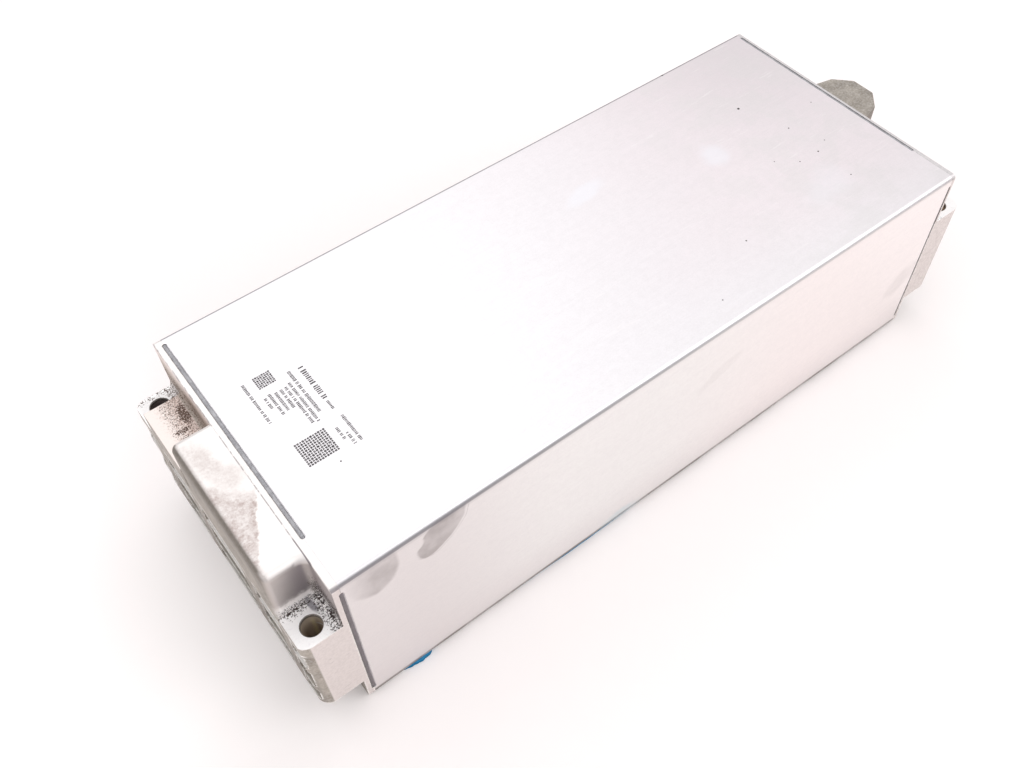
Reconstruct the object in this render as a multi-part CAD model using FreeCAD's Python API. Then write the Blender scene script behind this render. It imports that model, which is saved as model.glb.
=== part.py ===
import FreeCAD, Part
import math
import os

# Traction battery module: a welded aluminium box with a cast, ribbed bolt-down
# plate at each end. Twelve pouch cells stand inside on edge, two in parallel and
# six in series. X runs along the module with the blank end at -X and the terminal
# end at +X, Y runs across it, and Z is up. The origin is on the ground under the
# middle of the module. All sizes are in millimetres.

# Housing tube
housing_length = 358.0
housing_width = 150.0
housing_height = 110.0
side_wall = 2.2
floor_wall = 2.6
corner_radius = 2.5
inner_corner = 0.8
joint_chamfer = 0.06

# Old heat-transfer paste left on the underside, which the module stands on
paste_thickness = 0.8
paste_corners = [5.0, 3.5, 6.0, 4.5]

# Patches of paste: which end and how far in from it, which long side and how far in from it.
# Side 0 measures from the middle.
paste_patches = [
    (-1, 22.0, 38.0, -1, -2.0, 37.0),
    (-1, 75.0, 165.0, -1, 0.4, 15.0),
    (-1, 31.0, 83.0, 1, -2.0, 45.0),
    (0, -40.0, 34.0, 0, -30.0, 18.0),
    (1, 37.0, 121.0, 1, 5.0, 41.0),
    (1, 29.0, 91.0, -1, 3.0, 35.0),
]

# End castings, measured outwards from the end of the box and up from its floor
rim_near = 3.5
rim_far = 2.1
web_thickness = 4.0
spigot_length = 4.5
spigot_wall = 2.0
spigot_clearance = 0.15
ear_reach = 18.9
ear_top = 78.7
ear_bottom = 19.2
pad_width = 18.5
ear_corner_radius = 6.0
root_fillet = 4.0
front_draft = 0.75
bolt_reach = 9.8
bolt_inset = 8.0
bolt_hole_radius = 4.6
bolt_hole_chamfer = 0.35

# Top block and shelf of the blank end
block_width = 78.0
block_drop = 0.2
block_edge_radius = 3.2
block_buried = 3.4
block_root_fillet = 4.0
shelf_top = 92.0
shelf_corner_radius = 1.5

# Rib lattice on the front of each casting
rib_thickness = 3.0
rib_width = 10.0
deck_thickness = 8.7
rib_levels = [22.2, 37.0, 57.0]
rib_inset_low = 13.0
rib_inset_high = 25.0
middle_rib_sides = [-31.0, 16.5]
pocket_depth = 7.4
pocket_corner = 1.3
ear_pocket_depth = 2.2
ear_pocket_edge = 2.7
ear_pocket_width = 11.0

# Terminal end: bay for the terminals and the nose above the signal socket
bay_drop = 44.0
nose_drop = 1.0
nose_thickness = 9.0
nose_reach = 18.5
nose_shoulder = 10.4
nose_half_base = 17.4
nose_half_shoulder = 15.0
nose_half_tip = 6.4
nose_corner_radius = 1.5

# Weld seams along the joints between the tube and the castings
seam_width_near = 2.3
seam_width_far = 1.5
seam_depth = 0.6
seam_sink = 0.2
seam_end_share = 0.6
seam_inset_low_y = 25.0
seam_inset_high_y = 4.5
seam_inset_z = 6.0

# Cells and pads
cell_count = 12
cells_per_group = 2
cell_end_reach = 8.0
cell_edge = 2.5
cell_seal_fold_height = 1.6
cell_seal_fold_width = 3.0
cell_skirt_thickness = 1.2
cell_skirt_inset = 5.5
tab_thickness = 0.5
tab_bottom = 26.0
tab_drop = 39.0
tab_overhang = 1.0
tab_to_cover_gap = 2.3
foam_thickness = 1.5
side_pad_thickness = 3.05
pad_end_gap = 7.0
pad_edge_gap = 3.5
bed_thickness = 1.4
bed_edge_gap = 1.0
film_thickness = 0.5
film_end_gap = 2.0
film_edge_gap = 2.5
head_room = 1.9

# Busbar frames, busbars and covers
frame_plate = 3.0
frame_rim = 2.0
frame_gap_to_cell = 0.2
frame_clearance = 0.2
frame_top_gap = 0.8
frame_slot_width = 1.5
frame_slot_margin = 1.0
busbar_thickness = 2.0
busbar_margin = 4.0
busbar_overhang = 2.0
busbar_corner = 1.5
cover_thickness = 1.5

# Terminals
terminal_y = 36.0
terminal_bar_width = 16.0
terminal_bar_thickness = 2.5
terminal_drop = 26.0
terminal_reach = 17.0
terminal_hole_radius = 3.3
terminal_hole_inset = 8.0
terminal_corner_radius = 2.0
terminal_lip = 1.0
terminal_strip_below = 8.0
terminal_strip_above = 3.5
terminal_wall = 3.0
terminal_guard_height = 5.5
bushing_wall = 2.0
bushing_clearance = 0.2
nut_across_flats = 10.0
nut_height = 5.0
nut_bore_radius = 2.5
nut_chamfer = 0.4
screw_well_radius = 3.5
screw_well_depth = 6.0

# Signal socket
socket_drop = 26.0
socket_width = 22.0
socket_height = 15.0
socket_wall = 1.5
socket_reach = 14.0
socket_flange_width = 27.0
socket_flange_height = 20.0
socket_flange_thickness = 2.0
socket_corner_radius = 2.0
socket_rear_corner = 1.2
socket_rear_width = 18.0
socket_rear_height = 11.0
socket_rear_clearance = 0.3
gasket_thickness = 1.0
gasket_inset = 0.5
pin_size = 0.8
pin_pitch = 2.8
pin_columns = 6
pin_rows = 2
pin_length_outside = 7.0

# Sensing circuit
flex_thickness = 0.4
flex_width = 30.0
flex_comb_depth = 9.0
flex_finger_width = 5.0
flex_finger_reach = 8.0

# Temperature sensors under the flat circuit
sensor_places = [-110.0, 110.0]
sensor_length = 9.0
sensor_width = 4.0
sensor_corner = 0.7

# Places worked out from the sizes above
x_end = housing_length / 2
half_width = housing_width / 2
floor = paste_thickness
ceiling = floor + housing_height
x_joint_near = x_end - rim_near
x_joint_far = x_end - rim_far
inner_half_width = half_width - side_wall
inner_floor = floor + floor_wall
inner_ceiling = ceiling - floor_wall
seam_y_low = seam_inset_low_y - half_width
seam_y_high = half_width - seam_inset_high_y
seam_z_low = floor + seam_inset_z
seam_z_high = ceiling - seam_inset_z
bolt_x = x_end + bolt_reach
bolt_y = half_width - bolt_inset
pad_inner_y = half_width - pad_width
block_high_y = block_width - pad_inner_y
web_inner_x = x_end - web_thickness
cover_inner_x = web_inner_x - cover_thickness
group_count = cell_count // cells_per_group
stack_width = 2 * (inner_half_width - side_pad_thickness)
cell_thickness = (stack_width - (group_count - 1) * foam_thickness) / cell_count
cell_bottom = inner_floor + bed_thickness
flex_bottom = inner_ceiling - head_room - flex_thickness
film_bottom = flex_bottom - film_thickness
cell_top = film_bottom - cell_seal_fold_height
pad_low = cell_bottom + pad_edge_gap
pad_high = cell_top - pad_edge_gap
ring_half_width = inner_half_width - spigot_clearance - spigot_wall
ring_low = inner_floor + spigot_clearance + spigot_wall
ring_high = inner_ceiling - spigot_clearance - spigot_wall
busbar_outer_x = cover_inner_x - tab_overhang - tab_to_cover_gap
busbar_inner_x = busbar_outer_x - busbar_thickness
frame_inner_x = busbar_inner_x - frame_plate
skirt_end_x = frame_inner_x - frame_gap_to_cell
tab_end_x = busbar_outer_x + tab_overhang
tab_low = floor + tab_bottom
tab_high = ceiling - tab_drop
cell_end_x = skirt_end_x - cell_end_reach
pad_end_x = cell_end_x - pad_end_gap
film_end_x = skirt_end_x - film_end_gap
terminal_bar_low = ceiling - terminal_drop
terminal_bar_high = terminal_bar_low + terminal_bar_thickness
socket_z = ceiling - socket_drop
bay_floor = ceiling - bay_drop


def box(x0, x1, y0, y1, z0, z1):
    corner = FreeCAD.Vector(min(x0, x1), min(y0, y1), min(z0, z1))
    return Part.makeBox(abs(x1 - x0), abs(y1 - y0), abs(z1 - z0), corner)


def outline_wire(points, sizes, clipped=False):
    """Closed wire through plane points, with each corner rounded to its size or clipped straight by it."""
    count = len(points)
    corners = []
    for i in range(count):
        here = FreeCAD.Vector(*points[i])
        to_before = (FreeCAD.Vector(*points[i - 1]) - here).normalize()
        to_after = (FreeCAD.Vector(*points[(i + 1) % count]) - here).normalize()
        size = sizes[i]
        half_angle = to_before.getAngle(to_after) / 2
        reach = size if clipped else size / math.tan(half_angle)
        centre = here + (to_before + to_after).normalize() * (size / math.sin(half_angle))
        middle = centre + (here - centre).normalize() * size if size > 0 else here
        corners.append((here + to_before * reach, middle, here + to_after * reach))
    edges = []
    for i in range(count):
        start, middle, end = corners[i]
        if sizes[i] > 0 and clipped:
            edges.append(Part.LineSegment(start, end).toShape())
        elif sizes[i] > 0:
            edges.append(Part.Arc(start, middle, end).toShape())
        following = corners[(i + 1) % count][0]
        if (following - end).Length > 1e-6:
            edges.append(Part.LineSegment(end, following).toShape())
    return Part.Wire(edges)


def plan_prism(points, sizes, z0, z1, clipped=False):
    """Prism standing on a plan outline of x, y points."""
    wire = outline_wire([(x, y, z0) for x, y in points], sizes, clipped)
    return Part.Face(wire).extrude(FreeCAD.Vector(0, 0, z1 - z0))


def section_prism(y0, y1, z0, z1, size, x0, x1, clipped=False):
    """Rectangle with rounded or clipped corners in the cross-section, carried along X."""
    points = [(x0, y0, z0), (x0, y1, z0), (x0, y1, z1), (x0, y0, z1)]
    wire = outline_wire(points, [size] * 4, clipped)
    return Part.Face(wire).extrude(FreeCAD.Vector(x1 - x0, 0, 0))


def side_prism(points, sizes, y0, y1, clipped=False):
    """Prism with a side outline of x, z points, carried along Y."""
    wire = outline_wire([(x, y0, z) for x, z in points], sizes, clipped)
    return Part.Face(wire).extrude(FreeCAD.Vector(0, y1 - y0, 0))


def round_edges(shape, radius, chosen):
    edges = [edge for edge in shape.Edges if chosen(edge)]
    return shape.makeFillet(radius, edges)


def near(value, target, tolerance=0.01):
    return abs(value - target) < tolerance


def mirror_x(shape):
    return shape.mirror(FreeCAD.Vector(0, 0, 0), FreeCAD.Vector(1, 0, 0))


def save(name, shape):
    clean = shape.removeSplitter()
    print(name, "solids", len(clean.Solids), "valid", clean.isValid(), "volume", round(clean.Volume, 1))
    clean.exportStep(os.path.join("parts", name + ".step"))


def seam_runs(x_joint, width, top_level):
    """The four seams at one joint, with their ends narrowed, up to a level under the skin."""
    half = width / 2
    sizes = [half * seam_end_share] * 4
    depth = seam_depth
    solids = []
    for low, high in ((ceiling - depth, ceiling - top_level), (floor + top_level, floor + depth)):
        outline = [
            (x_joint - half, seam_y_low), (x_joint + half, seam_y_low),
            (x_joint + half, seam_y_high), (x_joint - half, seam_y_high),
        ]
        solids.append(plan_prism(outline, sizes, low, high, True))
    outline = [
        (x_joint - half, seam_z_low), (x_joint + half, seam_z_low),
        (x_joint + half, seam_z_high), (x_joint - half, seam_z_high),
    ]
    for low, high in ((-half_width + top_level, -half_width + depth), (half_width - depth, half_width - top_level)):
        solids.append(side_prism(outline, sizes, low, high, True))
    return solids


def seam_grooves(x_joint, width):
    return seam_runs(x_joint, width, 0.0)


def weld_beads(x_joint, width):
    return Part.makeCompound(seam_runs(x_joint, width, seam_sink))


def housing_tube():
    x0 = -x_joint_near
    x1 = x_joint_far
    outer = section_prism(-half_width, half_width, floor, ceiling, corner_radius, x0, x1)
    inner = section_prism(-inner_half_width, inner_half_width, inner_floor, inner_ceiling,
                          inner_corner, x0, x1, True)
    ends = [edge for edge in outer.Edges
            if edge.BoundBox.XLength < 0.01]
    tube = outer.makeChamfer(joint_chamfer, ends).cut(inner)
    for groove in seam_grooves(-x_joint_near, seam_width_near) + seam_grooves(x_joint_far, seam_width_far):
        tube = tube.cut(groove)
    return tube


def casting_base(x_joint):
    """Rim, web and spigot shared by both castings, facing +X."""
    rim = section_prism(-half_width, half_width, floor, ceiling, corner_radius, x_joint, x_end)
    joint_edges = [edge for edge in rim.Edges if edge.BoundBox.XLength < 0.01]
    rim = rim.makeChamfer(joint_chamfer, joint_edges)
    spigot_y = inner_half_width - spigot_clearance
    spigot = section_prism(-spigot_y, spigot_y, inner_floor + spigot_clearance, inner_ceiling - spigot_clearance,
                           inner_corner, x_joint - spigot_length, x_joint + joint_chamfer + 0.1, True)
    hollow = section_prism(-ring_half_width, ring_half_width, ring_low, ring_high,
                           inner_corner, x_joint - spigot_length, web_inner_x, True)
    return rim.fuse(spigot).cut(hollow)


def front_x(height):
    """Front plane of a casting at a height above the box floor, with its draft."""
    return x_end + ear_reach + (ear_top - height) * math.tan(math.radians(front_draft))


def pocket(y0, y1, z0, z1, depth):
    mouth = front_x(ear_bottom) + 1.0
    back = front_x(z1) - depth
    return section_prism(y0, y1, floor + z0, floor + z1, pocket_corner, back, mouth, True)


def rib_pockets(row_count):
    """Pockets between the ribs, row by row, with shallow ones beside the bolt bosses."""
    cutters = []
    rib_sides = [rib_inset_low - half_width] + middle_rib_sides + [half_width - rib_inset_high]
    tops = [level - rib_thickness for level in rib_levels[1:]] + [ear_top - deck_thickness]
    for row, (low, high) in enumerate(zip(rib_levels, tops)):
        if row < row_count:
            for left, right in zip(rib_sides[:-1], rib_sides[1:]):
                cutters.append(pocket(left + rib_width, right, low, high, pocket_depth))
        for side in (-1, 1):
            edge = half_width - ear_pocket_edge
            ends = sorted((side * edge, side * (edge - ear_pocket_width)))
            cutters.append(pocket(ends[0], ends[1], low, high, ear_pocket_depth))
    return cutters


def ear_beam():
    """Beam across the end that carries both ears, with rounded outer corners."""
    front = front_x(ear_bottom)
    inside = x_end - 1.0
    outline = [(inside, -half_width), (front, -half_width), (front, half_width), (inside, half_width)]
    return plan_prism(outline, [0, ear_corner_radius, ear_corner_radius, 0],
                      floor + ear_bottom, floor + ear_top)


def draft_cutter():
    """Wedge in front of the drafted face."""
    low = floor + ear_bottom - 1.0
    high = ceiling + 1.0
    outer = front_x(ear_bottom) + 10.0
    points = [(front_x(low - floor), low), (outer, low), (outer, high), (front_x(high - floor), high)]
    return side_prism(points, [0] * 4, -half_width - 1.0, half_width + 1.0)


def bolt_holes():
    """Through holes of both ears, with chamfered mouths."""
    low = floor + ear_bottom
    high = floor + ear_top
    cutters = []
    wide = bolt_hole_radius + bolt_hole_chamfer
    up = FreeCAD.Vector(0, 0, 1)
    for y in (-bolt_y, bolt_y):
        cutters.append(Part.makeCylinder(bolt_hole_radius, high - low, FreeCAD.Vector(bolt_x, y, low), up))
        cutters.append(Part.makeCone(bolt_hole_radius, wide, bolt_hole_chamfer,
                                     FreeCAD.Vector(bolt_x, y, high - bolt_hole_chamfer), up))
        cutters.append(Part.makeCone(wide, bolt_hole_radius, bolt_hole_chamfer,
                                     FreeCAD.Vector(bolt_x, y, low), up))
    return cutters


def finish_casting(body, x_joint, seam_width, row_count):
    """Draft, pockets, holes and seam grooves, which both castings have."""
    body = body.cut(draft_cutter())
    for cutter in rib_pockets(row_count) + bolt_holes() + seam_grooves(x_joint, seam_width):
        body = body.cut(cutter)
    return body


def root_edge(edge, z):
    """Concave edge where a level surface meets the face of the rim."""
    return (edge.BoundBox.XLength < 0.01 and edge.BoundBox.ZLength < 0.01
            and near(edge.CenterOfMass.x, x_end) and near(edge.CenterOfMass.z, z))


def block_edge(edge, top, buried_x, buried_y):
    """Edge of the block that is rounded: its top edges and its two front corners."""
    middle = edge.CenterOfMass
    on_top = near(middle.z, top) and not near(middle.x, buried_x) and not near(middle.y, buried_y)
    front_corner = edge.BoundBox.ZLength > 10.0 and middle.x > x_end + block_root_fillet + 1.0
    return on_top or front_corner


def end_plate_near():
    """Casting of the blank end, with a block flush with the lid and a lower shelf."""
    front = front_x(ear_bottom)
    inside = x_end - 1.0
    low = floor + ear_top - 1.0
    block_top = ceiling - block_drop
    block_low_y = -pad_inner_y
    buried_x = x_end - block_buried
    buried_y = block_low_y - block_root_fillet - 0.5
    block_outline = [(buried_x, block_high_y), (front, block_high_y), (front, block_low_y),
                     (x_end, block_low_y), (x_end, buried_y), (buried_x, buried_y)]
    block = plan_prism(block_outline, [0, 0, 0, block_root_fillet, 0, 0], low, block_top)
    block = block.cut(draft_cutter())
    block = round_edges(block, block_edge_radius,
                        lambda edge: block_edge(edge, block_top, buried_x, buried_y))
    shelf_outline = [(inside, block_high_y - 1.0), (front, block_high_y - 1.0),
                     (front, pad_inner_y), (inside, pad_inner_y)]
    shelf = plan_prism(shelf_outline, [0, 0, shelf_corner_radius, 0], low, floor + shelf_top)
    body = casting_base(x_joint_near).fuse(ear_beam()).fuse(shelf)
    body = body.removeSplitter()
    body = round_edges(body, root_fillet, lambda edge: root_edge(edge, floor + ear_top)
                       or root_edge(edge, floor + shelf_top))
    body = body.fuse(block)
    body = finish_casting(body, x_joint_near, seam_width_near, len(rib_levels))
    return mirror_x(body)


def nose():
    """Eight-sided nose over the signal socket."""
    inside = x_end - 1.0
    tip = x_end + nose_reach
    shoulder = x_end + nose_shoulder
    outline = [(inside, -nose_half_base), (x_end, -nose_half_base), (shoulder, -nose_half_shoulder),
               (tip, -nose_half_tip), (tip, nose_half_tip), (shoulder, nose_half_shoulder),
               (x_end, nose_half_base), (inside, nose_half_base)]
    top = ceiling - nose_drop
    rounded = nose_corner_radius
    return plan_prism(outline, [0, 0, rounded, rounded, rounded, rounded, 0, 0], top - nose_thickness, top)


def terminal_window(side, clearance):
    """Opening in the web for one terminal bushing."""
    half = terminal_bar_width / 2 + bushing_wall + clearance
    low = terminal_bar_low - bushing_wall - clearance
    high = terminal_bar_high + bushing_wall + clearance
    centre = side * terminal_y
    return box(cover_inner_x - 1.0, x_end + 1.0, centre - half, centre + half, low, high)


def socket_window(clearance):
    half_y = socket_rear_width / 2 + clearance
    half_z = socket_rear_height / 2 + clearance
    centre = socket_z
    return section_prism(-half_y, half_y, centre - half_z, centre + half_z, socket_rear_corner,
                         cover_inner_x - 1.0, x_end + 1.0, True)


def end_plate_far():
    """Casting of the terminal end, with an open bay between the ears."""
    bay = box(x_end, front_x(ear_bottom) + 1.0, -pad_inner_y, pad_inner_y, bay_floor, floor + ear_top + 1.0)
    body = casting_base(x_joint_far).fuse(ear_beam().cut(bay)).fuse(nose())
    body = body.removeSplitter()
    body = round_edges(body, root_fillet, lambda edge: root_edge(edge, floor + ear_top))
    body = finish_casting(body, x_joint_far, seam_width_far, len(rib_levels) - 1)
    for side in (-1, 1):
        body = body.cut(terminal_window(side, bushing_clearance))
    return body.cut(socket_window(socket_rear_clearance))


def cell_centre(index):
    """Middle of one cell across the stack."""
    group = index // cells_per_group
    start = -stack_width / 2 + group * foam_thickness
    return start + (index + 0.5) * cell_thickness


def pouch_cell(index):
    """Pouch with its folded top seal, end skirts and one tab at each end."""
    centre = cell_centre(index)
    half = cell_thickness / 2
    flat_outline = [(-cell_end_x, centre - half), (cell_end_x, centre - half),
                    (cell_end_x, centre + half), (-cell_end_x, centre + half)]
    body = plan_prism(flat_outline, [cell_edge] * 4, cell_bottom, cell_top, True)
    fold = box(cell_edge - cell_end_x, cell_end_x - cell_edge,
               centre - cell_seal_fold_width / 2, centre + cell_seal_fold_width / 2, cell_top - 1.0, film_bottom)
    skirt = box(-skirt_end_x, skirt_end_x, centre - cell_skirt_thickness / 2, centre + cell_skirt_thickness / 2,
                cell_bottom + cell_skirt_inset, cell_top - cell_skirt_inset)
    tabs = box(-tab_end_x, tab_end_x, centre - tab_thickness / 2, centre + tab_thickness / 2, tab_low, tab_high)
    return body.fuse(fold).fuse(skirt).fuse(tabs)


def foam_pad(gap):
    """Foam sheet between two groups of cells."""
    index = (gap + 1) * cells_per_group
    side = cell_centre(index) - cell_thickness / 2
    return box(-pad_end_x, pad_end_x, side - foam_thickness, side, pad_low, pad_high)


def side_pad(side):
    """Pad between the stack and one long wall of the tube."""
    return box(-pad_end_x, pad_end_x, side * stack_width / 2, side * inner_half_width, pad_low, pad_high)


def heat_bed():
    """Layer of heat-transfer paste between the cells and the floor of the tube."""
    half = stack_width / 2 - bed_edge_gap
    end = cell_end_x - bed_edge_gap
    return box(-end, end, -half, half, inner_floor, cell_bottom)


def top_film():
    half = stack_width / 2 + film_edge_gap
    film = box(-film_end_x, film_end_x, -half, half, film_bottom, flex_bottom)
    for bead in temperature_sensors():
        film = film.cut(bead)
    return film


def busbar_frame(openings):
    """Moulded frame, facing +X: slotted plate with a rim that holds off the cover."""
    half = inner_half_width - frame_clearance
    plate = section_prism(-half, half, inner_floor + frame_clearance, flex_bottom - frame_top_gap,
                          inner_corner, frame_inner_x, busbar_inner_x, True)
    rim_half = ring_half_width - frame_clearance
    rim_low = ring_low + frame_clearance
    rim_high = ring_high - frame_clearance
    wall = section_prism(-rim_half, rim_half, rim_low, rim_high, inner_corner,
                         busbar_inner_x - 1.0, cover_inner_x, True)
    hollow = section_prism(-rim_half + frame_rim, rim_half - frame_rim, rim_low + frame_rim, rim_high - frame_rim,
                           inner_corner, busbar_inner_x - 1.0, cover_inner_x, True)
    frame = plate.fuse(wall.cut(hollow))
    for index in range(cell_count):
        centre = cell_centre(index)
        frame = frame.cut(box(frame_inner_x - 1.0, busbar_inner_x + 1.0,
                              centre - frame_slot_width / 2, centre + frame_slot_width / 2,
                              tab_low - frame_slot_margin, tab_high + frame_slot_margin))
    passage = box(busbar_inner_x, busbar_outer_x + frame_rim, -flex_width / 2 - 1.0, flex_width / 2 + 1.0,
                  rim_high - frame_rim - 1.0, ring_high)
    frame = frame.cut(passage)
    for opening in openings:
        frame = frame.cut(opening)
    return frame


def tab_slots(first, last):
    return [box(busbar_inner_x - 1.0, busbar_outer_x + 1.0,
                cell_centre(i) - tab_thickness / 2, cell_centre(i) + tab_thickness / 2, tab_low, tab_high)
            for i in range(first, last + 1)]


def busbar_plate(first, last):
    """Flat busbar over the tabs of neighbouring cells, facing +X."""
    low_y = cell_centre(first) - busbar_margin
    high_y = cell_centre(last) + busbar_margin
    plate = section_prism(low_y, high_y, tab_low - busbar_overhang, tab_high + busbar_overhang,
                          busbar_corner, busbar_inner_x, busbar_outer_x, True)
    for slot in tab_slots(first, last):
        plate = plate.cut(slot)
    return plate


def terminal_busbar(side):
    """Busbar of an end group, with the bar that leaves through the web."""
    first = 0 if side < 0 else cell_count - cells_per_group
    last = first + cells_per_group - 1
    outer_y = side * (abs(cell_centre(0)) + busbar_margin)
    inner_y = side * (abs(cell_centre(cells_per_group - 1)) - busbar_margin)
    bar_in = side * (terminal_y - terminal_bar_width / 2)
    low = tab_low - busbar_overhang
    strip_low = terminal_bar_low - terminal_strip_below
    strip_high = terminal_bar_high + terminal_strip_above
    outline = [(outer_y, low), (outer_y, strip_high), (bar_in, strip_high),
               (bar_in, strip_low), (inner_y, strip_low), (inner_y, low)]
    wire = outline_wire([(busbar_inner_x, y, z) for y, z in outline], [busbar_corner] * 6, True)
    plate = Part.Face(wire).extrude(FreeCAD.Vector(busbar_thickness, 0, 0))
    for slot in tab_slots(first, last):
        plate = plate.cut(slot)
    tip = x_end + terminal_reach
    half = terminal_bar_width / 2
    centre = side * terminal_y
    bar_outline = [(busbar_inner_x, centre - half), (tip, centre - half), (tip, centre + half),
                   (busbar_inner_x, centre + half)]
    rounded = terminal_corner_radius
    bar = plan_prism(bar_outline, [0, rounded, rounded, 0], terminal_bar_low, terminal_bar_high)
    hole = Part.makeCylinder(terminal_hole_radius, terminal_bar_thickness,
                             FreeCAD.Vector(tip - terminal_hole_inset, centre, terminal_bar_low))
    return plate.fuse(bar).cut(hole)


def hexagon(across, x, y, z0, z1):
    radius = across / math.sqrt(3)
    points = [(x + radius * math.cos(math.radians(60 * k)), y + radius * math.sin(math.radians(60 * k)))
              for k in range(6)]
    return plan_prism(points, [0] * 6, z0, z1)


def terminal_nuts():
    """Captive nuts under the two terminal bars."""
    nuts = []
    x = x_end + terminal_reach - terminal_hole_inset
    top = terminal_bar_low
    for side in (-1, 1):
        y = side * terminal_y
        nut = hexagon(nut_across_flats, x, y, top - nut_height, top)
        bore = Part.makeCylinder(nut_bore_radius, nut_height, FreeCAD.Vector(x, y, top - nut_height))
        mouth = Part.makeCone(nut_bore_radius, nut_bore_radius + nut_chamfer, nut_chamfer,
                              FreeCAD.Vector(x, y, top - nut_chamfer))
        nuts.append(nut.cut(bore).cut(mouth))
    return Part.makeCompound(nuts)


def terminal_block(side):
    """Moulded block under one terminal bar, with finger guards and the web bushing."""
    centre = side * terminal_y
    bar_half = terminal_bar_width / 2
    half = bar_half + terminal_wall
    bar_low = terminal_bar_low
    bar_high = terminal_bar_high
    tip = x_end + terminal_reach + terminal_lip
    deck = bay_floor
    top = bar_high + terminal_guard_height
    outline = [(x_end, centre - half), (tip, centre - half), (tip, centre + half), (x_end, centre + half)]
    body = plan_prism(outline, [0, terminal_corner_radius, terminal_corner_radius, 0], deck, top)
    trough = box(x_end + terminal_wall, tip + 1.0, centre - bar_half, centre + bar_half, bar_low, top + 1.0)
    bushing = box(cover_inner_x, x_end, centre - bar_half - bushing_wall, centre + bar_half + bushing_wall,
                  bar_low - bushing_wall, bar_high + bushing_wall)
    bar_slot = box(cover_inner_x - 1.0, tip, centre - bar_half, centre + bar_half, bar_low, bar_high)
    nut_x = x_end + terminal_reach - terminal_hole_inset
    nut_seat = hexagon(nut_across_flats, nut_x, centre, bar_low - nut_height, bar_low)
    well = Part.makeCylinder(screw_well_radius, screw_well_depth,
                             FreeCAD.Vector(nut_x, centre, bar_low - nut_height - screw_well_depth))
    return body.cut(trough).fuse(bushing).cut(bar_slot).cut(nut_seat).cut(well)


def end_cover(openings):
    """Thin insulating cover between the busbars and the web, facing +X."""
    half = ring_half_width - frame_clearance
    cover = section_prism(-half, half, ring_low + frame_clearance, ring_high - frame_clearance,
                          inner_corner, cover_inner_x, web_inner_x, True)
    for opening in openings:
        cover = cover.cut(opening)
    return cover


def pin_places():
    """Across and height of every pin in the socket."""
    places = []
    for row in range(pin_rows):
        for column in range(pin_columns):
            y = (column - (pin_columns - 1) / 2) * pin_pitch
            z = socket_z + (row - (pin_rows - 1) / 2) * pin_pitch
            places.append((y, z))
    return places


def pin_solids():
    flange_x = x_end + gasket_thickness + socket_flange_thickness
    half = pin_size / 2
    return [box(busbar_outer_x + flex_thickness, flange_x + pin_length_outside, y - half, y + half, z - half, z + half)
            for y, z in pin_places()]


def signal_socket():
    """Header with a flange, a shroud open to +X and a rear boss through the web."""
    centre = socket_z
    back = x_end + gasket_thickness
    front = back + socket_flange_thickness
    mouth = x_end + socket_reach
    flange = section_prism(-socket_flange_width / 2, socket_flange_width / 2,
                           centre - socket_flange_height / 2, centre + socket_flange_height / 2,
                           socket_corner_radius, back, front)
    shroud = section_prism(-socket_width / 2, socket_width / 2, centre - socket_height / 2,
                           centre + socket_height / 2, socket_corner_radius, front - 1.0, mouth)
    cavity = section_prism(-socket_width / 2 + socket_wall, socket_width / 2 - socket_wall,
                           centre - socket_height / 2 + socket_wall, centre + socket_height / 2 - socket_wall,
                           socket_corner_radius - socket_wall, front, mouth + 1.0)
    rear = section_prism(-socket_rear_width / 2, socket_rear_width / 2, centre - socket_rear_height / 2,
                         centre + socket_rear_height / 2, socket_rear_corner,
                         busbar_outer_x + flex_thickness, back + 1.0, True)
    socket = flange.fuse(shroud).cut(cavity).fuse(rear)
    for pin in pin_solids():
        socket = socket.cut(pin)
    return socket


def socket_gasket():
    centre = socket_z
    half_y = socket_flange_width / 2 - gasket_inset
    half_z = socket_flange_height / 2 - gasket_inset
    outer = section_prism(-half_y, half_y, centre - half_z, centre + half_z, socket_rear_corner,
                          x_end, x_end + gasket_thickness, True)
    return outer.cut(socket_window(0.0))


def sensing_flex():
    """Flat circuit over the cells, with a comb of fingers on the busbars at each end."""
    top = flex_bottom + flex_thickness
    comb_x = busbar_outer_x + flex_thickness
    flex = box(-comb_x, comb_x, -flex_width / 2, flex_width / 2, flex_bottom, top)
    half_span = abs(cell_centre(0))
    comb_low = top - flex_comb_depth
    for end in (-1, 1):
        x0 = end * busbar_outer_x
        x1 = end * comb_x
        flex = flex.fuse(box(x0, x1, -flex_width / 2, flex_width / 2, comb_low, top))
        flex = flex.fuse(box(x0, x1, -half_span, half_span, comb_low - flex_finger_width, comb_low))
        for centre in finger_places(end):
            flex = flex.fuse(box(x0, x1, centre - flex_finger_width / 2, centre + flex_finger_width / 2,
                                 tab_high + busbar_overhang - flex_finger_reach, comb_low))
    tail = socket_rear_width / 2
    return flex.fuse(box(busbar_outer_x, comb_x, -tail, tail,
                         socket_z - socket_rear_height / 2, comb_low))


def temperature_sensors():
    """Sensor beads that hang from the flat circuit through the film, between two folds."""
    beads = []
    half = sensor_width / 2
    for x in sensor_places:
        beads.append(section_prism(-half, half, cell_top, flex_bottom, sensor_corner,
                                   x - sensor_length / 2, x + sensor_length / 2, True))
    return beads


def link_groups(end):
    """First and last cell of each link busbar at one end."""
    width = 2 * cells_per_group
    start = 0 if end < 0 else cells_per_group
    return [(first, first + width - 1) for first in range(start, cell_count - width + 1, width)]


def finger_places(end):
    """Where the sensing fingers land, in the middle of each busbar."""
    centres = [(cell_centre(first) + cell_centre(last)) / 2 for first, last in link_groups(end)]
    if end > 0:
        outer = (cell_centre(0) + cell_centre(cells_per_group - 1)) / 2
        centres = [outer] + centres + [-outer]
    return centres


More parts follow.
